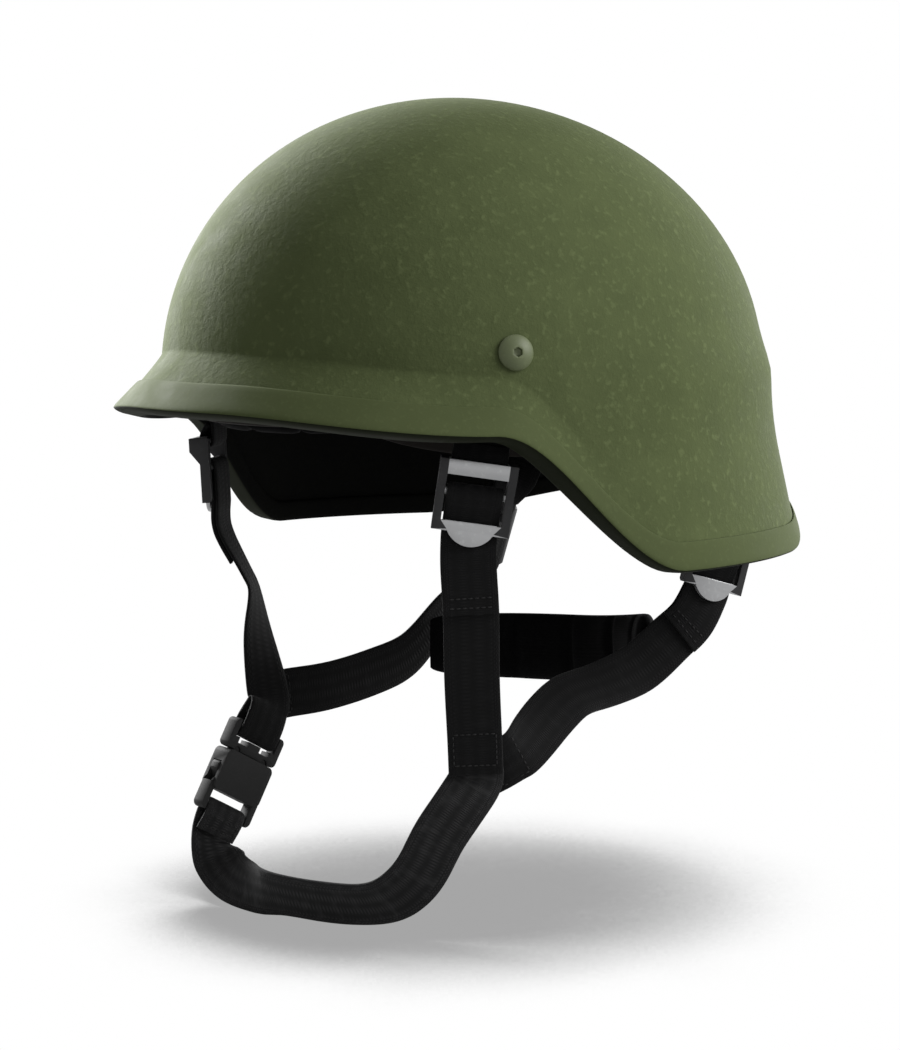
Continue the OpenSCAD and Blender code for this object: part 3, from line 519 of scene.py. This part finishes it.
def trimSection(turn):
    # the outer lip is feathered, and the inner one starts at the eleventh point
    t = trimSizes
    z = rimHeight(aside(turn))
    g = t["gap"]
    thick = t["lip"] + g
    web = t["web"]
    down = rimDown(turn)
    half = t["inner"]/2
    points = [
        skin(turn, z + t["outer"], g), skin(turn, z + t["outer"] - 0.25, g + 0.45),
        skin(turn, z + t["outer"] - 1.2, g + 0.7),
        skin(turn, z + half, g + 0.75), skin(turn, z + 1.4, g + 0.75), skin(turn, z, g + 0.6) + down*0.2*web,
        skin(turn, z, g + 0.1) + down*0.75*web, cutEdge(turn, 0.12, web), cutEdge(turn, 0.45, web),
        cutEdge(turn, 0.8, web), innerFace(turn, 0, thick*0.6) + down*0.85*web,
        innerFace(turn, 0, thick) + down*0.4*web, innerFace(turn, half, thick),
        innerFace(turn, t["inner"] - 0.6, t["lip"] + 0.1), innerFace(turn, t["inner"], t["lip"]*0.6),
        innerFace(turn, t["inner"], g), innerFace(turn, half, g),
        innerFace(turn, 0, g) - Vector((0, 0, t["room"])),
        skin(turn, z, g) + down*t["room"]/-down.z, skin(turn, z + half, g)]
    cut = []
    for i, a in enumerate(points):
        b = points[(i + 1) % len(points)]
        cut += [a.lerp(b, 0.25), a.lerp(b, 0.75)]
    return cut


def buildTrim():
    around = trimSizes["around"]
    sections = [trimSection(360*i/around) for i in range(around)]
    bm = gridFromRows(sections, ring=True)
    uv = bm.loops.layers.uv.active
    # outer faces take the rubber, the underside its painted shade, and the inner lip the dark inside material
    for face in bm.faces:
        step = round(min(corner[uv].uv.x for corner in face.loops)*len(sections[0]))
        face.material_index = (step >= trimSizes["underFrom"]) + (step >= trimSizes["insideFrom"])
    return addPiece("rimTrim", bm, [trimRubber, trimUnderPaintedShade, shellInsideBlackAndShade], "helmet", ("edge_trim",))


buildTrim()
print("trim built")

# Webbing: a flat strip with rounded selvages along a path
webbing = {"width": 20, "thickness": 1.6, "gap": 0.3, "round": 24, "corner": 0.28, "face": 0.5}
stripFrames = {}


def rounded(value, power):
    # a cosine or sine drawn out towards a square corner, with its sign kept
    return math.copysign(abs(value)**power, value)


def stripSection(width, thickness, count):
    # points round a flat oval, from the middle of one face
    points = []
    for i in range(count):
        a = math.tau*i/count
        points.append((width/2*rounded(math.sin(a), webbing["corner"]),
                       thickness/2*rounded(-math.cos(a), webbing["face"])))
    return points


def buildStrip(name, path, across, body, replaced, material=blackWebbing, width=webbing["width"], rounds=2):
    # along the path, with its width across; each row's place is kept for the stitches
    path = cutCorners([Vector(p) for p in path], rounds)
    across = cutCorners([Vector(a) for a in across], rounds)
    section = stripSection(width, webbing["thickness"], webbing["round"])
    rows = []
    stripFrames[name] = []
    walked = 0.0
    for i, p in enumerate(path):
        d = along(path, i)
        a = (across[i] - across[i].dot(d)*d).normalized()
        n = d.cross(a)
        walked += (p - path[max(0, i - 1)]).length
        rows.append([p + a*x + n*y for x, y in section])
        stripFrames[name].append((walked, p, a, n))
    return addPiece(name, gridFromRows(rows, (2*width, walked)), material, body, replaced)


# Ladder locks: where each hangs, seen on the left side, its turn, its slant and its swing inwards
locks = {
    "frontLeft": {"at": (80.1, -64.6, -34), "turn": 51, "slant": 8, "swing": 0, "side": left},
    "frontRight": {"at": (80.4, -63.9, -34), "turn": 51, "slant": 0, "swing": 3, "side": right},
    "rearLeft": {"at": (66.7, 76.7, -67.8), "turn": 76, "slant": 16, "swing": 0, "side": left},
    "rearRight": {"at": (66.7, 76.7, -67.8), "turn": 76, "slant": 19, "swing": -6, "side": right},
}
lockSizes = {"bar": 3, "frame": 3, "middle": 10.5, "lower": 21, "lowerBar": 2, "seat": 0.3, "clear": 21.6}
diagonal = 0.71


def turned(*turns):
    whole = Matrix.Identity(3)
    for degrees, axis in turns:
        whole = whole @ Matrix.Rotation(math.radians(degrees), 3, axis)
    return whole


def lockFrame(lock):
    return turned((lock["turn"], "Z"), (lock["slant"], "Y"), (lock["swing"], "X"))


def lockPoint(lock, out, z):
    return mirrored(Vector(lock["at"]) + lockFrame(lock) @ Vector((0, -out, z)), lock["side"])


def lockAcross(lock):
    return mirrored(lockFrame(lock) @ Vector((1, 0, 0)), lock["side"])


barTurn = lockSizes["bar"]/2 + lockSizes["seat"] + webbing["thickness"]/2
tailOut = lockSizes["frame"]/2 + 0.8 - lockSizes["lowerBar"] - lockSizes["seat"] - webbing["thickness"]/2
loadOut = tailOut - webbing["thickness"] - webbing["gap"]

# Hangers: short webbing from a bolt down the wall and round a lock's hanger bar
hangers = {
    "front": {"turn": 57.5, "height": 5.5, "inside": 11.0},
    "rear": {"turn": 146, "height": -38, "inside": 11.0},
}
bandSizes = {"height": 21, "brow": 9, "nape": -34, "out": 12.8, "in": 14.8}


def bandHeight(turn):
    return mix(bandSizes["brow"], bandSizes["nape"], ease(40, 140, aside(turn)))


def buildHanger(name, node, place, lock):
    side = lock["side"]
    at = Vector(lock["at"])
    drift = (math.degrees(math.atan2(at.x, -at.y)) - place["turn"])/(at.z - place["height"])
    edge = bandHeight(place["turn"]) - bandSizes["height"]/2 - 3 - place["height"]
    steps = ((12, 0), (6, 0), (0, 0), (-5, 0.1), (mix(-5, edge, 0.4), 0.2), (edge, 0.4))
    wall = [(side*(place["turn"] + drift*d), place["height"] + d) for d, _ in steps]
    onWall = [skin(turn, z, -place["inside"] - lift) for (turn, z), (_, lift) in zip(wall, steps)]
    r = barTurn
    k = r*diagonal
    loop = [lockPoint(lock, out, z) for out, z in (
        (-r, 4), (-r, 0), (-k, -k), (0, -r), (k, -k), (r, 0), (r*0.8, 3), (-0.4, 6.5))]
    free = smoothPath([onWall[4], onWall[5], loop[0], loop[1]], 5)
    start = shellSide(*wall[5])
    finish = side*lockAcross(lock)
    twist = [mix(start, finish, ease(0, 5, i)).normalized() for i in range(1, 5)]
    path = onWall + free[6:10] + loop
    across = [shellSide(turn, z) for turn, z in wall] + twist + [finish]*len(loop)
    return buildStrip(name, path, across, "helmet", (node,))


buildHanger("hangerFrontLeft", "front_hanger_left", hangers["front"], locks["frontLeft"])
buildHanger("hangerFrontRight", "front_hanger_right", hangers["front"], locks["frontRight"])
buildHanger("hangerRearLeft", "rear_hanger_left", hangers["rear"], locks["rearLeft"])
buildHanger("hangerRearRight", "rear_hanger_right", hangers["rear"], locks["rearRight"])
print("hangers built")

# The buckle hangs turned and slanted from the right front strap
buckle = {"at": (-61, -58.8, -152), "turn": 91, "lean": 2, "roll": 29, "span": 33, "bar": 3.2}
buckleFrame = turned((buckle["turn"], "Z"), (buckle["lean"], "X"), (buckle["roll"], "Y"))
buckleAcross = buckleFrame @ Vector((1, 0, 0))
buckleTurn = buckle["bar"]/2 + lockSizes["seat"] + webbing["thickness"]/2


def bucklePoint(x, y, z):
    return Vector(buckle["at"]) + buckleFrame @ Vector((x, y, z))


# Harness straps: a tail, a turn through the lock and a route down, which the tail follows outside
straps = {
    "frontLeft": {
        "tail": 6,
        "route": [(76.5, -66.5, -70), (78, -66.5, -87), (72, -60.7, -112), (66, -54, -136),
                  (62.7, -50.5, -149.5)],
        "turns": [facing(51), facing(51), facing(50), facing(50), facing(50)]},
    "frontRight": {
        "tail": 5,
        "route": [(-78.5, -60, -70), (-76, -52.5, -86), (-74, -48.6, -96.5), (-69, -50.5, -115),
                  (-62.5, -51, -136)],
        "turns": [facing(130), facing(134), facing(132), facing(108), (0.1, 0.95, -0.2)]},
    "rearLeft": {
        "tail": 5,
        "route": [(62, 63, -103), (59, 54, -111), (56, 40, -121), (56, 20, -125.5), (58.4, 2, -127),
                  (62.5, -12, -131.5), (66.5, -24, -137), (69.2, -33.4, -142), (68, -37.9, -144.7),
                  (65, -41.9, -147.7), (61.1, -45, -150.5)],
        "turns": [(0.35, 0.8, -0.5), (0.5, 0.6, -0.7), (0.55, 0.3, -0.8), (0.7, 0, -0.7), (0.75, -0.1, -0.65),
                  (0.65, 0.1, -0.7), (0.5, 0.35, -0.75), (0.2, 0.57, -0.8), (0.12, 0.62, -0.81),
                  (0.12, 0.62, -0.81), (0.12, 0.62, -0.81)]},
    "rearRight": {
        "tail": 5,
        "route": [(-66, 59, -103), (-68.5, 47, -113), (-69, 29, -129), (-68, 8, -134.5), (-66.5, -17, -137.5),
                  (-68.2, -36, -138.3), (-67.6, -44, -138.6), (-67.2, -51, -138.8)],
        "turns": [(-0.35, 0.8, -0.5), (-0.3, 0.6, -0.7), (-0.1, 0.4, -0.9), (0.05, 0, -1), (0.05, -0.05, -1),
                  (0.1, 0, -1), (0.1, -0.03, -0.97), (0.1, -0.03, -0.97)]},
}
buckleDip = buckleTurn*diagonal
buckleWrap = [bucklePoint(0, y, z) for y, z in (
    (-1.5, 12), (-buckleTurn, 6), (-buckleTurn, 0), (-buckleDip, -buckleDip), (0, -buckleTurn),
    (buckleDip, -buckleDip), (buckleTurn, 0), (buckleTurn, 5), (0.8, 13))]
straps["frontRight"]["route"] += buckleWrap
straps["frontRight"]["turns"] += [buckleAcross]*len(buckleWrap)


def lockWrap(lock):
    # up over the tail side of the lower bar, over the middle bar and down inside the tail
    r = barTurn
    k = r*diagonal
    m = -lockSizes["middle"]
    low = -lockSizes["lower"]
    return [lockPoint(lock, out, z) for out, z in (
        (tailOut, low - 4), (tailOut, low), (0.3, m - 5.5), (k, m - k), (r, m), (k, m + k),
        (0, m + r), (-k, m + k), (-r, m), (loadOut, m - 5), (loadOut, low - 4))]


def onStrip(name, distance, sideways, face):
    # a point on one face of a strip, at a distance from its start, or from its end if that is negative
    frames = stripFrames[name]
    goal = distance if distance >= 0 else frames[-1][0] + distance
    _, p, a, n = min(frames, key=lambda f: abs(f[0] - goal))
    return p + a*sideways + n*face*webbing["thickness"]/2, n*face


def buildStrap(name, node, key):
    lock = locks[key]
    strap = straps[key]
    wrap = lockWrap(lock)
    lane = smoothPath([wrap[-1]] + strap["route"], 3)
    turns = smoothPath([lockAcross(lock)] + strap["turns"], 3)
    lift = lock["side"]*(webbing["thickness"] + webbing["gap"])
    tail = [lane[i] + lift*along(lane, i).cross(turns[i]).normalized() for i in range(strap["tail"], 0, -1)]
    path = tail + wrap + lane[1:]
    across = [turns[i] for i in range(strap["tail"], 0, -1)] + [lockAcross(lock)]*len(wrap) + turns[1:]
    piece = buildStrip(name, path, across, None, (node,))
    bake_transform(piece)
    return piece


buildStrap("strapFrontLeft", "front_strap_left", "frontLeft")
buildStrap("strapFrontRight", "front_strap_right", "frontRight")
buildStrap("strapRearLeft", "rear_strap_left", "rearLeft")
buildStrap("strapRearRight", "rear_strap_right", "rearRight")

chinStrap = {
    "route": [(64.3, -52.6, -134), (61.9, -49.8, -147), (60.8, -49, -152.5), (59.2, -54.5, -160.5),
              (54, -61, -173), (47, -66, -189), (33, -70.5, -200), (10, -77, -203.5), (-15, -84, -203.5),
              (-31, -83.5, -204), (-45, -83, -202.5), (-55.5, -81.5, -198)],
    "turns": [facing(50), facing(50), facing(50), (0.6, 0.65, -0.45), (0.58, 0.6, -0.55), (0.4, 0.55, -0.72),
              (0.1, 0.55, -0.8), (-0.3, 0.35, -0.85), (-0.38, 0.3, -0.85), (-0.45, 0, -0.85),
              (-0.55, -0.4, -0.7), (-0.4, -0.85, -0.2)],
    "givesFrom": 5, "givesTo": 10,
}


def buildChinStrap():
    r = buckleTurn
    k = buckleDip
    wrap = [bucklePoint(0, y, z - buckle["span"]) for y, z in (
        (0.6, -12), (r - 0.2, -5), (r, 0), (k, k), (0, r), (-k, k), (-r, 0), (-r, -4), (-1.5, -10))]
    path = smoothPath(chinStrap["route"], 3) + wrap
    across = smoothPath(chinStrap["turns"], 3) + [-buckleAcross]*len(wrap)
    piece = buildStrip("strapChin", path, across, None, ("chin_strap",), material=chinWebbing)
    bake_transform(piece)
    return piece


buildChinStrap()
print("straps built")

# Stitches: short raised threads in rows across and along a strip
stitch = {"pitch": 2.4, "length": 1.7, "width": 0.55, "height": 0.5, "rise": 0.05, "inset": 2.2}
tailRows = (2.5, 5.5)
# where each strap is sewn down, as distances from its end
sewnEnds = {"strapFrontLeft": (-17, -4), "strapRearLeft": (-15, -4), "strapRearRight": (-15, -4),
            "strapFrontRight": (-7, -2)}


def sewRow(bm, start, end, up):
    run = end - start
    count = max(2, round(run.length/stitch["pitch"]))
    d = run.normalized()
    side = up.cross(d)
    size = Matrix((d*stitch["length"]/2, side*stitch["width"]/2, up*stitch["height"]/2)).transposed()*mm
    for k in range(count):
        centre = start + run*(k + 0.5)/count + up*stitch["rise"]
        bmesh.ops.create_uvsphere(bm, u_segments=8, v_segments=5, radius=1, calc_uvs=True,
                                  matrix=Matrix.Translation(centre*mm) @ size.to_4x4())


def sewBox(bm, name, near, far, face, half):
    # a closed box of stitches between two distances along a strip
    places = ((near, -half), (near, half), (far, half), (far, -half))
    corners = [onStrip(name, d, x, face)[0] for d, x in places]
    up = onStrip(name, (near + far)/2, 0, face)[1]
    for a, b in zip(corners, corners[1:] + corners[:1]):
        sewRow(bm, a, b, up)


def buildStitches(pieceName, ends, body, tails=()):
    # a box at each end that is sewn down, and two rows at each tail
    half = webbing["width"]/2 - stitch["inset"]
    bm = bmesh.new()
    bm.loops.layers.uv.new("UVMap")
    for name in tails:
        for face in (1, -1):
            for distance in tailRows:
                a, up = onStrip(name, distance, -half, face)
                b, _ = onStrip(name, distance, half, face)
                sewRow(bm, a, b, up)
    for name, (near, far) in ends.items():
        for face in (1, -1):
            sewBox(bm, name, near, far, face, half)
    addPiece(pieceName, bm, thread, body)


buildStitches("strapStitches", sewnEnds, "helmet",
              ("strapFrontLeft", "strapFrontRight", "strapRearLeft", "strapRearRight"))
buildStitches("chinStitches", {"strapChin": (-7, -2)}, "buckle_female")
print("stitches sewn")

# Metal and moulded pieces keep the frame's shapes, with their edges rounded
plate = {"across": 0.15, "along": 0.97, "margin": 0.3}


def sidePlate(lock):
    # true for the flat faces of a lock's side plates, painted dark as a reflection; their rounded edges stay
    # bright
    back = lockFrame(lock).transposed()

    def test(face):
        p = back @ (mirrored(face.calc_center_median()/mm, lock["side"]) - Vector(lock["at"]))
        n = back @ mirrored(face.normal, lock["side"])
        flat = abs(n.x) < plate["across"] or abs(n.x) > plate["along"]
        return flat and abs(p.x) > lockSizes["clear"]/2 - plate["margin"]
    return test


for key, node in (("frontLeft", "front_lock_left"), ("frontRight", "front_lock_right"),
                  ("rearLeft", "rear_lock_left"), ("rearRight", "rear_lock_right")):
    dressedNode(node, "ladderLock" + key[0].upper() + key[1:], [lockCoat, lockPaintedShade], node, 0.5,
                shaded=sidePlate(locks[key]))
for node, name, material, body, slot, edge in (
        ("strap_bolts", "strapBolts", boltCoat, "helmet", "bolt", 0.25),
        ("bolt_washers", "boltWashers", platedSteel, "helmet", "washer", 0.2),
        ("bolt_nuts", "boltNuts", platedSteel, "helmet", "nut", 0.25),
        ("headband_clips", "bandClips", platedSteel, "helmet", "clip", 0.2),
        ("buckle_male", "buckleMale", buckleAcetal, "helmet", "buckle", 0.35),
        ("buckle_female", "buckleFemale", buckleAcetal, "buckle_female", "buckle", 0.45),
        ("buckle_arm_left", "buckleArmLeft", buckleAcetal, "buckle_arm_left", "buckle", 0.3),
        ("buckle_arm_right", "buckleArmRight", buckleAcetal, "buckle_arm_right", "buckle", 0.3)):
    dressedNode(node, name, material, body, edge)
print("hardware dressed")

# Liner rings follow the wall from the brow down to the nape
headbandSizes = {"height": 28, "thickness": 3, "rise": 6, "riseTurns": (60, 150), "out": 23.8}
ringSizes = {"around": 216, "section": 28, "round": 600}


def headbandHeight(turn):
    return bandHeight(turn) + headbandSizes["rise"]*ease(*headbandSizes["riseTurns"], aside(turn))


def bandSection(height, near, far, crowned):
    # a flat oval of (rise above the middle, distance inwards), thickest at its middle
    middle = (near + far)/2
    return [(x, middle + y*(1 - crowned*(2*x/height)**2))
            for x, y in stripSection(height, far - near, ringSizes["section"])]


def buildRing(name, node, section, heightAt, material):
    rows = []
    for i in range(ringSizes["around"]):
        turn = 360*i/ringSizes["around"]
        rows.append([skin(turn, heightAt(turn) + h, -depth) for h, depth in section])
    bm = gridFromRows(rows, (2*headbandSizes["height"], ringSizes["round"]), ring=True)
    return addPiece(name, bm, material, "helmet", (node,))


buildRing("suspensionBand", "suspension_band",
          bandSection(bandSizes["height"], bandSizes["out"], bandSizes["in"], 0.1),
          bandHeight, bandNylon)
h = headbandSizes
buildRing("headbandLeather", "headband", bandSection(h["height"], h["out"], h["out"] + h["thickness"], 0.35),
          headbandHeight, bandLeather)
print("liner bands built")

# Crown straps rise from the band and are stitched to a ring under the crown
crown = {"turns": (0, 78, 122, 180, 238, 282), "width": 18, "lift": 1.7, "gap": 16, "wallHeight": 48,
         "ringRadius": 30, "ringWidth": 28, "ringThickness": 2, "ringHeight": 66.5,
         "padRadius": 42, "padThickness": 8}


def buildCrownStrap(number, turn):
    z = bandHeight(turn)
    lie = bandSizes["in"] + crown["lift"] + webbing["thickness"]/2
    t = math.radians(turn)
    end, knee = (Vector(((crown["ringRadius"] + reach)*math.sin(t),
                         -(crown["ringRadius"] + reach)*math.cos(t) - s["crownLean"],
                         crown["ringHeight"] + lift)) for reach, lift in ((6, 0), (17, 0.2)))
    half = bandSizes["height"]/2
    path = smoothPath([skin(turn, z - half + 4, -lie), skin(turn, z, -lie), skin(turn, z + half, -lie - 1),
                       skin(turn, crown["wallHeight"], -s["thickness"] - crown["gap"]), knee, end], 4)
    last = len(path) - 1
    across = [mix(shellSide(turn, z), facing(turn), i/last) for i in range(last + 1)]
    replaced = ("crown_straps",) if number == 0 else ()
    return buildStrip(f"crownStrap{number + 1}", path, across, "helmet", replaced,
                      width=crown["width"], rounds=1)


for number, turn in enumerate(crown["turns"]):
    buildCrownStrap(number, turn)


def buildCrownRing():
    top = crown["ringHeight"] - webbing["thickness"]/2 - lockSizes["seat"]
    bm = bmesh.new()
    centre = Vector((0, -s["crownLean"], top - crown["ringThickness"]/2))*mm
    section = [bm.verts.new(centre + Vector((crown["ringRadius"] + x, 0, y))*mm)
               for x, y in stripSection(crown["ringWidth"], crown["ringThickness"], 32)]
    edges = [bm.edges.new((a, section[(i + 1) % len(section)])) for i, a in enumerate(section)]
    bmesh.ops.spin(bm, geom=section + edges, cent=centre, axis=(0, 0, 1), angle=math.tau, steps=96,
                   use_merge=True, use_duplicate=False)
    bmesh.ops.remove_doubles(bm, verts=bm.verts, dist=merged)
    bmesh.ops.recalc_face_normals(bm, faces=bm.faces)
    return addPiece("crownRing", bm, bandLeather, "helmet", ("crown_ring",))


buildCrownRing()


# Pads: crowned closed forms with sewn channels, which a short cloth simulation fills
filling = {"pressure": 4, "steps": 20, "cap": 0.9}


def fillPad(pad, sewn):
    # sewn() tells from the share of the pad's length which points the thread holds down
    mesh = pad.data
    rest = [v.co.copy() for v in mesh.vertices]
    shares = [d.value for d in mesh.attributes["lengthwise"].data]
    held = pad.vertex_groups.new(name="sewn")
    held.add([i for i, share in enumerate(shares) if sewn(share)], 1.0, "REPLACE")
    cloth = pad.modifiers.new("filling", "CLOTH")
    cloth.settings.vertex_group_mass = "sewn"
    cloth.settings.use_pressure = True
    cloth.settings.uniform_pressure_force = filling["pressure"]
    cloth.settings.effector_weights.gravity = 0
    for step in range(1, filling["steps"] + 1):
        bpy.context.scene.frame_set(step)
    full = pad.evaluated_get(bpy.context.evaluated_depsgraph_get()).data
    moved = [v.co - p for v, p in zip(full.vertices, rest)]
    pad.modifiers.remove(cloth)
    pad.vertex_groups.clear()
    for v, p, move in zip(mesh.vertices, rest, moved):
        v.co = p + move*min(1.0, filling["cap"]*mm/max(move.length, 1e-9))
    bpy.context.scene.frame_set(1)
    print(pad.name, "filled by up to", round(max(m.length for m in moved)/mm, 2), "mm before the cap")


def buildCrownPad():
    top = crown["ringHeight"] - webbing["thickness"]/2 - 2*lockSizes["seat"] - crown["ringThickness"]
    around, rings = 72, 24

    def place(u, v):
        # v runs from the top's middle over the edge to the middle below
        a = math.tau*u
        turn = math.pi*v
        r = crown["padRadius"]*abs(math.sin(turn))**0.55
        drop = (1 - math.cos(turn))/2
        seam = 1 - 0.1*math.exp(-((r/crown["padRadius"] - 0.55)/0.04)**2)*(turn > 1.6)
        z = top - crown["padThickness"]*(0.06 + 0.94*drop**0.8)*seam
        return Vector((r*math.sin(a), -r*math.cos(a) - s["crownLean"], z))

    bm = wrappedGrid(around, rings, place, size=(200, 80), closed=True)
    pad = addPiece("crownPad", bm, padKnit, "helmet", ("crown_pad",))
    fillPad(pad, lambda f: f < 0.45 or abs(f - 0.72) < 0.03)
    return pad


buildCrownPad()


def buildBrowPad():
    start = headbandSizes["out"] + headbandSizes["thickness"] + 2
    tall = headbandSizes["height"]/2 - 2
    spread, thick, channels = 44, 7, 6
    count, steps = 28, 72

    def place(u, v):
        f = 1 - 2*v
        turn = f*(spread + 1)
        end = math.sqrt(max(0.0, 1 - abs(f)**6))
        sewn = 1 - 0.4*math.exp(-((v*channels - round(v*channels))/0.07)**2)
        a = math.tau*u
        x = tall*mix(0.7, 1, end)*rounded(math.sin(a), 0.6)
        depth = thick*end*sewn*(0.5 - 0.5*rounded(math.cos(a), 0.7))
        return skin(turn, bandHeight(turn) + x, -start - depth)

    bm = wrappedGrid(count, steps, place, size=(60, 150), closed=True, capped=True)
    pad = addPiece("browPad", bm, padKnit, "helmet", ("brow_pad",))
    fillPad(pad, lambda f: min(f, 1 - f) < 0.03 or abs(f*channels - round(f*channels)) < 0.06)
    return pad


buildBrowPad()

napePad = {
    "route": [(52.7, 46.2, -113.4), (40, 59, -117), (22, 69, -120.5), (0, 73, -123.5), (-22, 70, -125),
              (-42, 59, -125.5), (-66, 37.8, -125.6)],
    "height": 28, "thickness": 9, "channels": 4,
}


def buildNapePad():
    n = napePad
    spine = smoothPath(n["route"], 16)
    last = len(spine) - 1
    count = 32
    rows = []
    for i, p in enumerate(spine):
        f = i/last
        d = along(spine, i)
        out = Vector((0, 0, 1)).cross(d).normalized()
        up = d.cross(out)
        end = math.sqrt(max(0.0, 1 - (abs(2*f - 1)*0.985)**6))
        sewn = 1 - 0.55*abs(math.cos(math.pi*f*(n["channels"] + 1)))**24
        tall = n["height"]/2*mix(0.62, 1, end)
        thick = n["thickness"]/2*end*sewn + 0.6
        angles = [-math.tau*k/count for k in range(count)]
        rows.append([p + out*thick*rounded(math.cos(a), 0.7) + up*tall*rounded(math.sin(a), 0.8)
                     for a in angles])
    pad = addPiece("napePad", gridFromRows(rows, (66, 160)), padKnit, "helmet", ("nape_pad",))
    fillPad(pad, lambda f: min(f, 1 - f) < 0.03
            or abs(f*(n["channels"] + 1) - round(f*(n["channels"] + 1))) < 0.05)
    return pad


buildNapePad()
print("pads built")

# Camera at the photograph's place, with its picture 900 x 1050
view = {"azimuth": 49, "elevation": 6.2, "distance": 1000, "target": (1.2, -9.6, -65.9),
        "focal": 2560, "height": 1050, "sensor": 36}


def buildCamera():
    az, el = math.radians(view["azimuth"]), math.radians(view["elevation"])
    back = Vector((math.sin(az)*math.cos(el), -math.cos(az)*math.cos(el), math.sin(el)))
    data = bpy.data.cameras.new("camera")
    data.sensor_width = view["sensor"]
    data.lens = view["sensor"]*view["focal"]/view["height"]
    data.clip_start = 0.05
    camera = bpy.data.objects.new("camera", data)
    camera.location = (Vector(view["target"]) + back*view["distance"])*mm
    camera.rotation_euler = back.to_track_quat("Z", "Y").to_euler()
    bpy.context.scene.collection.objects.link(camera)
    bpy.context.scene.camera = camera
    return back


toCamera = buildCamera()
toRight = facing(view["azimuth"])
toTop = toCamera.cross(toRight)

# Soft lamps, placed by how far right, up and towards the camera they stand, in metres
lamps = {
    "keyRight": {"at": (1.4, 0.75, 0.45), "size": 1.0, "power": 31},
    "rimRight": {"at": (1.1, 0.25, -1.1), "size": 0.7, "power": 16},
    "rimLeft": {"at": (-1.1, 0.72, -1.05), "size": 0.6, "power": 98},
    "top": {"at": (0.1, 1.8, -0.5), "size": 1.0, "power": 2},
    "front": {"at": (0.7, 0.2, 2.0), "size": 1.2, "power": 3.5},
}


def buildLamps():
    for name, lamp in lamps.items():
        data = bpy.data.lights.new(name, "AREA")
        data.energy = lamp["power"]
        data.size = lamp["size"]
        obj = bpy.data.objects.new(name, data)
        x, y, z = lamp["at"]
        obj.location = toRight*x + toTop*y + toCamera*z
        obj.rotation_euler = obj.location.to_track_quat("Z", "Y").to_euler()
        bpy.context.scene.collection.objects.link(obj)


buildLamps()


def seenRay(tree):
    # 1 for rays that show the surroundings: from the camera, in gloss and through glass
    path = addNode(tree, "LightPath")
    first = addNode(tree, "Math", operation="MAXIMUM")
    both = addNode(tree, "Math", operation="MAXIMUM")
    tree.links.new(path.outputs["Is Camera Ray"], first.inputs[0])
    tree.links.new(path.outputs["Is Glossy Ray"], first.inputs[1])
    tree.links.new(first.outputs[0], both.inputs[0])
    tree.links.new(path.outputs["Is Transmission Ray"], both.inputs[1])
    return both


worldStrength = {"unseen": 0.2, "seen": 1.0}


def buildWorld():
    world = bpy.data.worlds.new("studio")
    bpy.context.scene.world = world
    world.use_nodes = True
    tree = world.node_tree
    background = tree.nodes["Background"]
    background.inputs["Color"].default_value = (1, 1, 1, 1)
    strength = addNode(tree, "MapRange", {"To Min": worldStrength["unseen"], "To Max": worldStrength["seen"]})
    tree.links.new(seenRay(tree).outputs[0], strength.inputs["Value"])
    tree.links.new(strength.outputs[0], background.inputs["Strength"])


buildWorld()

# The floor shows white to the camera, less the object's soft shadow, and grey to the light that it bounces
floorSizes = {"radius": 1500, "drop": 0.2, "reach": 330, "open": 0.78, "shut": 0.6, "shade": 0.38,
              "grey": (0.3, 0.3, 0.3, 1)}


def buildFloor():
    material = bpy.data.materials.new("paleFloor")
    material.use_nodes = True
    tree = material.node_tree
    link = tree.links.new
    shader = tree.nodes["Principled BSDF"]
    shader.inputs["Base Color"].default_value = floorSizes["grey"]
    shader.inputs["Roughness"].default_value = 0.9
    shader.inputs["Specular IOR Level"].default_value = 0.1
    # the more of the space above a spot the object covers, the darker the floor tints what is seen through it:
    # the white below, or a strap that drops lower as the buckle opens
    covered = addNode(tree, "AmbientOcclusion", {"Distance": floorSizes["reach"]*mm}, samples=48)
    shade = addNode(tree, "MapRange", {"From Min": floorSizes["shut"], "From Max": floorSizes["open"],
                                       "To Min": floorSizes["shade"], "To Max": 1.0},
                    interpolation_type="SMOOTHSTEP")
    link(covered.outputs["AO"], shade.inputs["Value"])
    shown = addNode(tree, "BsdfTransparent")
    link(shade.outputs[0], shown.inputs["Color"])
    both = addNode(tree, "MixShader")
    link(seenRay(tree).outputs[0], both.inputs[0])
    link(shader.outputs[0], both.inputs[1])
    link(shown.outputs[0], both.inputs[2])
    link(both.outputs[0], tree.nodes["Material Output"].inputs["Surface"])
    bm = bmesh.new()
    bmesh.ops.create_circle(bm, cap_ends=True, segments=64, radius=floorSizes["radius"]*mm)
    bmesh.ops.translate(bm, verts=bm.verts, vec=(0, 0, cadBox[0][2] - floorSizes["drop"]*mm))
    mesh = bpy.data.meshes.new("floor")
    bm.to_mesh(mesh)
    bm.free()
    mesh.materials.append(material)
    floor = bpy.data.objects.new("floor", mesh)
    bpy.context.scene.collection.objects.link(floor)


buildFloor()
bpy.context.scene.view_settings.view_transform = "Standard"
print("stage built")
